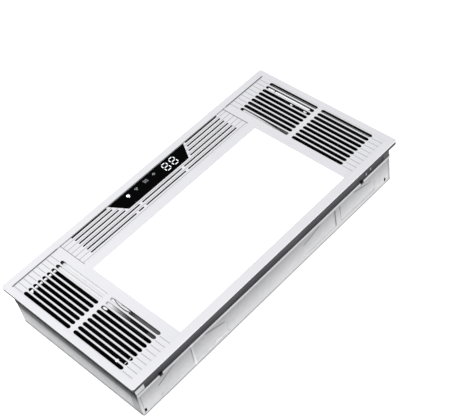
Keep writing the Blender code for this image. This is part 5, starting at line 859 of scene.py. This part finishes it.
near_rim = [(0.0240, 0.0436), (0.0400, 0.0439), (0.0400, 0.0452), (0.0240, 0.0449)]
cover_lens = [(0.0886, 0.1420), (0.0978, 0.1420), (0.0978, 0.1060), (0.0935, 0.1035), (0.0886, 0.1060)]
boss_top, bar_catch = arc(0.0746, 0.1402, 0.0017, 0.0046), arc(0.0211, 0.0555, 0.0026, 0.0027)
for name, outline, finish, level, thick in (
        ("boss_top", boss_top, white_with_painted_light("boss_white", 0.45), COVER_LEVEL + 0.00005, SKIN_THICK),
        ("near_rim", near_rim, white_with_painted_light("near_rim_white", 0.01), COVER_LEVEL + 0.00005, SKIN_THICK),
        ("bar_catch", bar_catch, white_with_painted_light("catch_white", 0.10), PANEL_TOP, 0.0002),
        ("cover_lens", cover_lens, white_with_painted_light("cover_lens_white", 0.16), COVER_LEVEL + 0.00003, SKIN_THICK)):
    flat_shape(name, [outline], finish, level, thick)


def ramp_shade_grey(name, tone):
    """Grey moulding painted as shade on the guide's ramp, darkening further towards the far side, where it
    dips under the cover.
    """
    shade = tuple(0.75 * part for part in tone[:3]) + (1.0,)
    material = plastic(name, tone, shade, grain=1500.0, matt=0.7, gloss=0.55, depth=0.00003)
    tree = material.node_tree
    shader = tree.nodes["Principled BSDF"]
    skin = shader.inputs["Base Color"].links[0].from_socket
    dip_shade = spread(tree, own_axes(tree)[1], -0.0620, -0.0480, 1.0, 0.06)
    wire(tree, blend_colours(tree, 1.0, skin, dip_shade, "MULTIPLY"), shader.inputs["Base Color"])
    return material


# Painted shade: the outlet guide's ramp and its edge, grey and darker grey where the white guide lies in
# shade.
flat_shape("outlet_ramp", [[(0.0915, 0.1035), (0.0960, 0.1035), (0.0990, 0.0960), (0.1000, 0.0360),
                            (0.0880, 0.0360), (0.0880, 0.0900)]],
           ramp_shade_grey("ramp_shade_grey", grey(0.120, 0.126)),
           level=COVER_LEVEL + 0.00008, thick=0.00012)
flat_shape("outlet_ramp_edge", [corners(0.0785, 0.0560, 0.0875, 0.0360)],
           ramp_shade_grey("ramp_shade", grey(0.040, 0.044)),
           level=COVER_LEVEL - 0.00040, thick=0.00060)

INLET_LEVEL, INLET_THICK = 0.08535, 0.0004
flat_shape("inlet_shoulder", [corners(0.5040, 0.2490, 0.5112, 0.1560)],
           white_with_painted_light("shoulder_lit", 0.16, near_y=-0.030, far_y=0.085),
           INLET_LEVEL, INLET_THICK)
# Painted shade along the inlet shoulder's seam.
shoulder_seam = band([(0.5120, 0.2500), (0.5112, 0.2096), (0.5088, 0.1580)], [0.0012, 0.0014, 0.0030])
flat_shape("inlet_shoulder_seam", [shoulder_seam], seam_shade_black,
           level=0.08562, thick=0.00008)
# Painted light: grey strips in the right grille's first slot, standing for the inner wall lit through that
# slot.
lip_strips = [corners(0.5823, 0.2600, 0.5828, 0.1550), corners(0.5841, 0.2600, 0.5848, 0.1550),
              corners(0.5834, 0.1450, 0.5842, 0.0400)]
flat_shape("inlet_slot_light", lip_strips,
           plastic("slot_light_grey", grey(0.48, 0.49), grey(0.36, 0.37), grain=2000.0, matt=0.5, gloss=0.4,
                   depth=0.00002), INLET_LEVEL, INLET_THICK)


# Extract unit and electrics: black mouldings for the casing, its cover, the collar, the control box and the
# cable gland; boards, relays, capacitor, light driver and terminals inside and beside the box.

case_black = plastic("case_black", grey(0.008, 0.009), grey(0.005, 0.006), grain=1300.0, matt=0.72,
                     gloss=0.58, depth=0.00004, specular=0.15, wear_and_shade=0.35, worn_colour=grey(0.03, 0.031))
for name in ("extract_casing", "extract_cover", "outlet_collar", "control_box", "control_cover",
             "cable_gland", "gland_nut"):
    dress(name, case_black)


def circuit_board():
    """Green coated board with lighter traces."""
    material, tree, shader = fresh_material("circuit_board")
    traces = tree.nodes.new("ShaderNodeTexBrick")
    traces.inputs["Scale"].default_value = 90.0
    traces.inputs["Mortar Size"].default_value = 0.03
    traces.inputs["Color1"].default_value = (0.020, 0.120, 0.050, 1.0)
    traces.inputs["Color2"].default_value = (0.025, 0.150, 0.065, 1.0)
    traces.inputs["Mortar"].default_value = (0.060, 0.260, 0.120, 1.0)
    wire(tree, own_place(tree), traces.inputs["Vector"])
    wire(tree, traces.outputs["Color"], shader.inputs["Base Color"])
    wire(tree, spread(tree, traces.outputs["Fac"], 0.0, 1.0, 0.35, 0.5), shader.inputs["Roughness"])
    emboss(tree, shader, traces.outputs["Fac"], 0.00003)
    return material


board_green = circuit_board()
dress("display_board", board_green)
dress("control_board", board_green)
dress("relay_bank", plastic("relay_blue", (0.030, 0.090, 0.300, 1.0), (0.024, 0.072, 0.240, 1.0),
                            grain=900.0, matt=0.45, gloss=0.3, depth=0.00002))
dress("capacitor", plastic("capacitor_sleeve", (0.012, 0.014, 0.030, 1.0), (0.008, 0.010, 0.022, 1.0),
                           grain=300.0, matt=0.3, gloss=0.2, depth=0.00002))
case_white = plastic("case_white", grey(0.78, 0.77), grey(0.72, 0.71), grain=1400.0, matt=0.5, gloss=0.4,
                     depth=0.00003)
dress("light_driver", case_white, 0.0004)
dress("terminal_block", case_white, 0.0003)
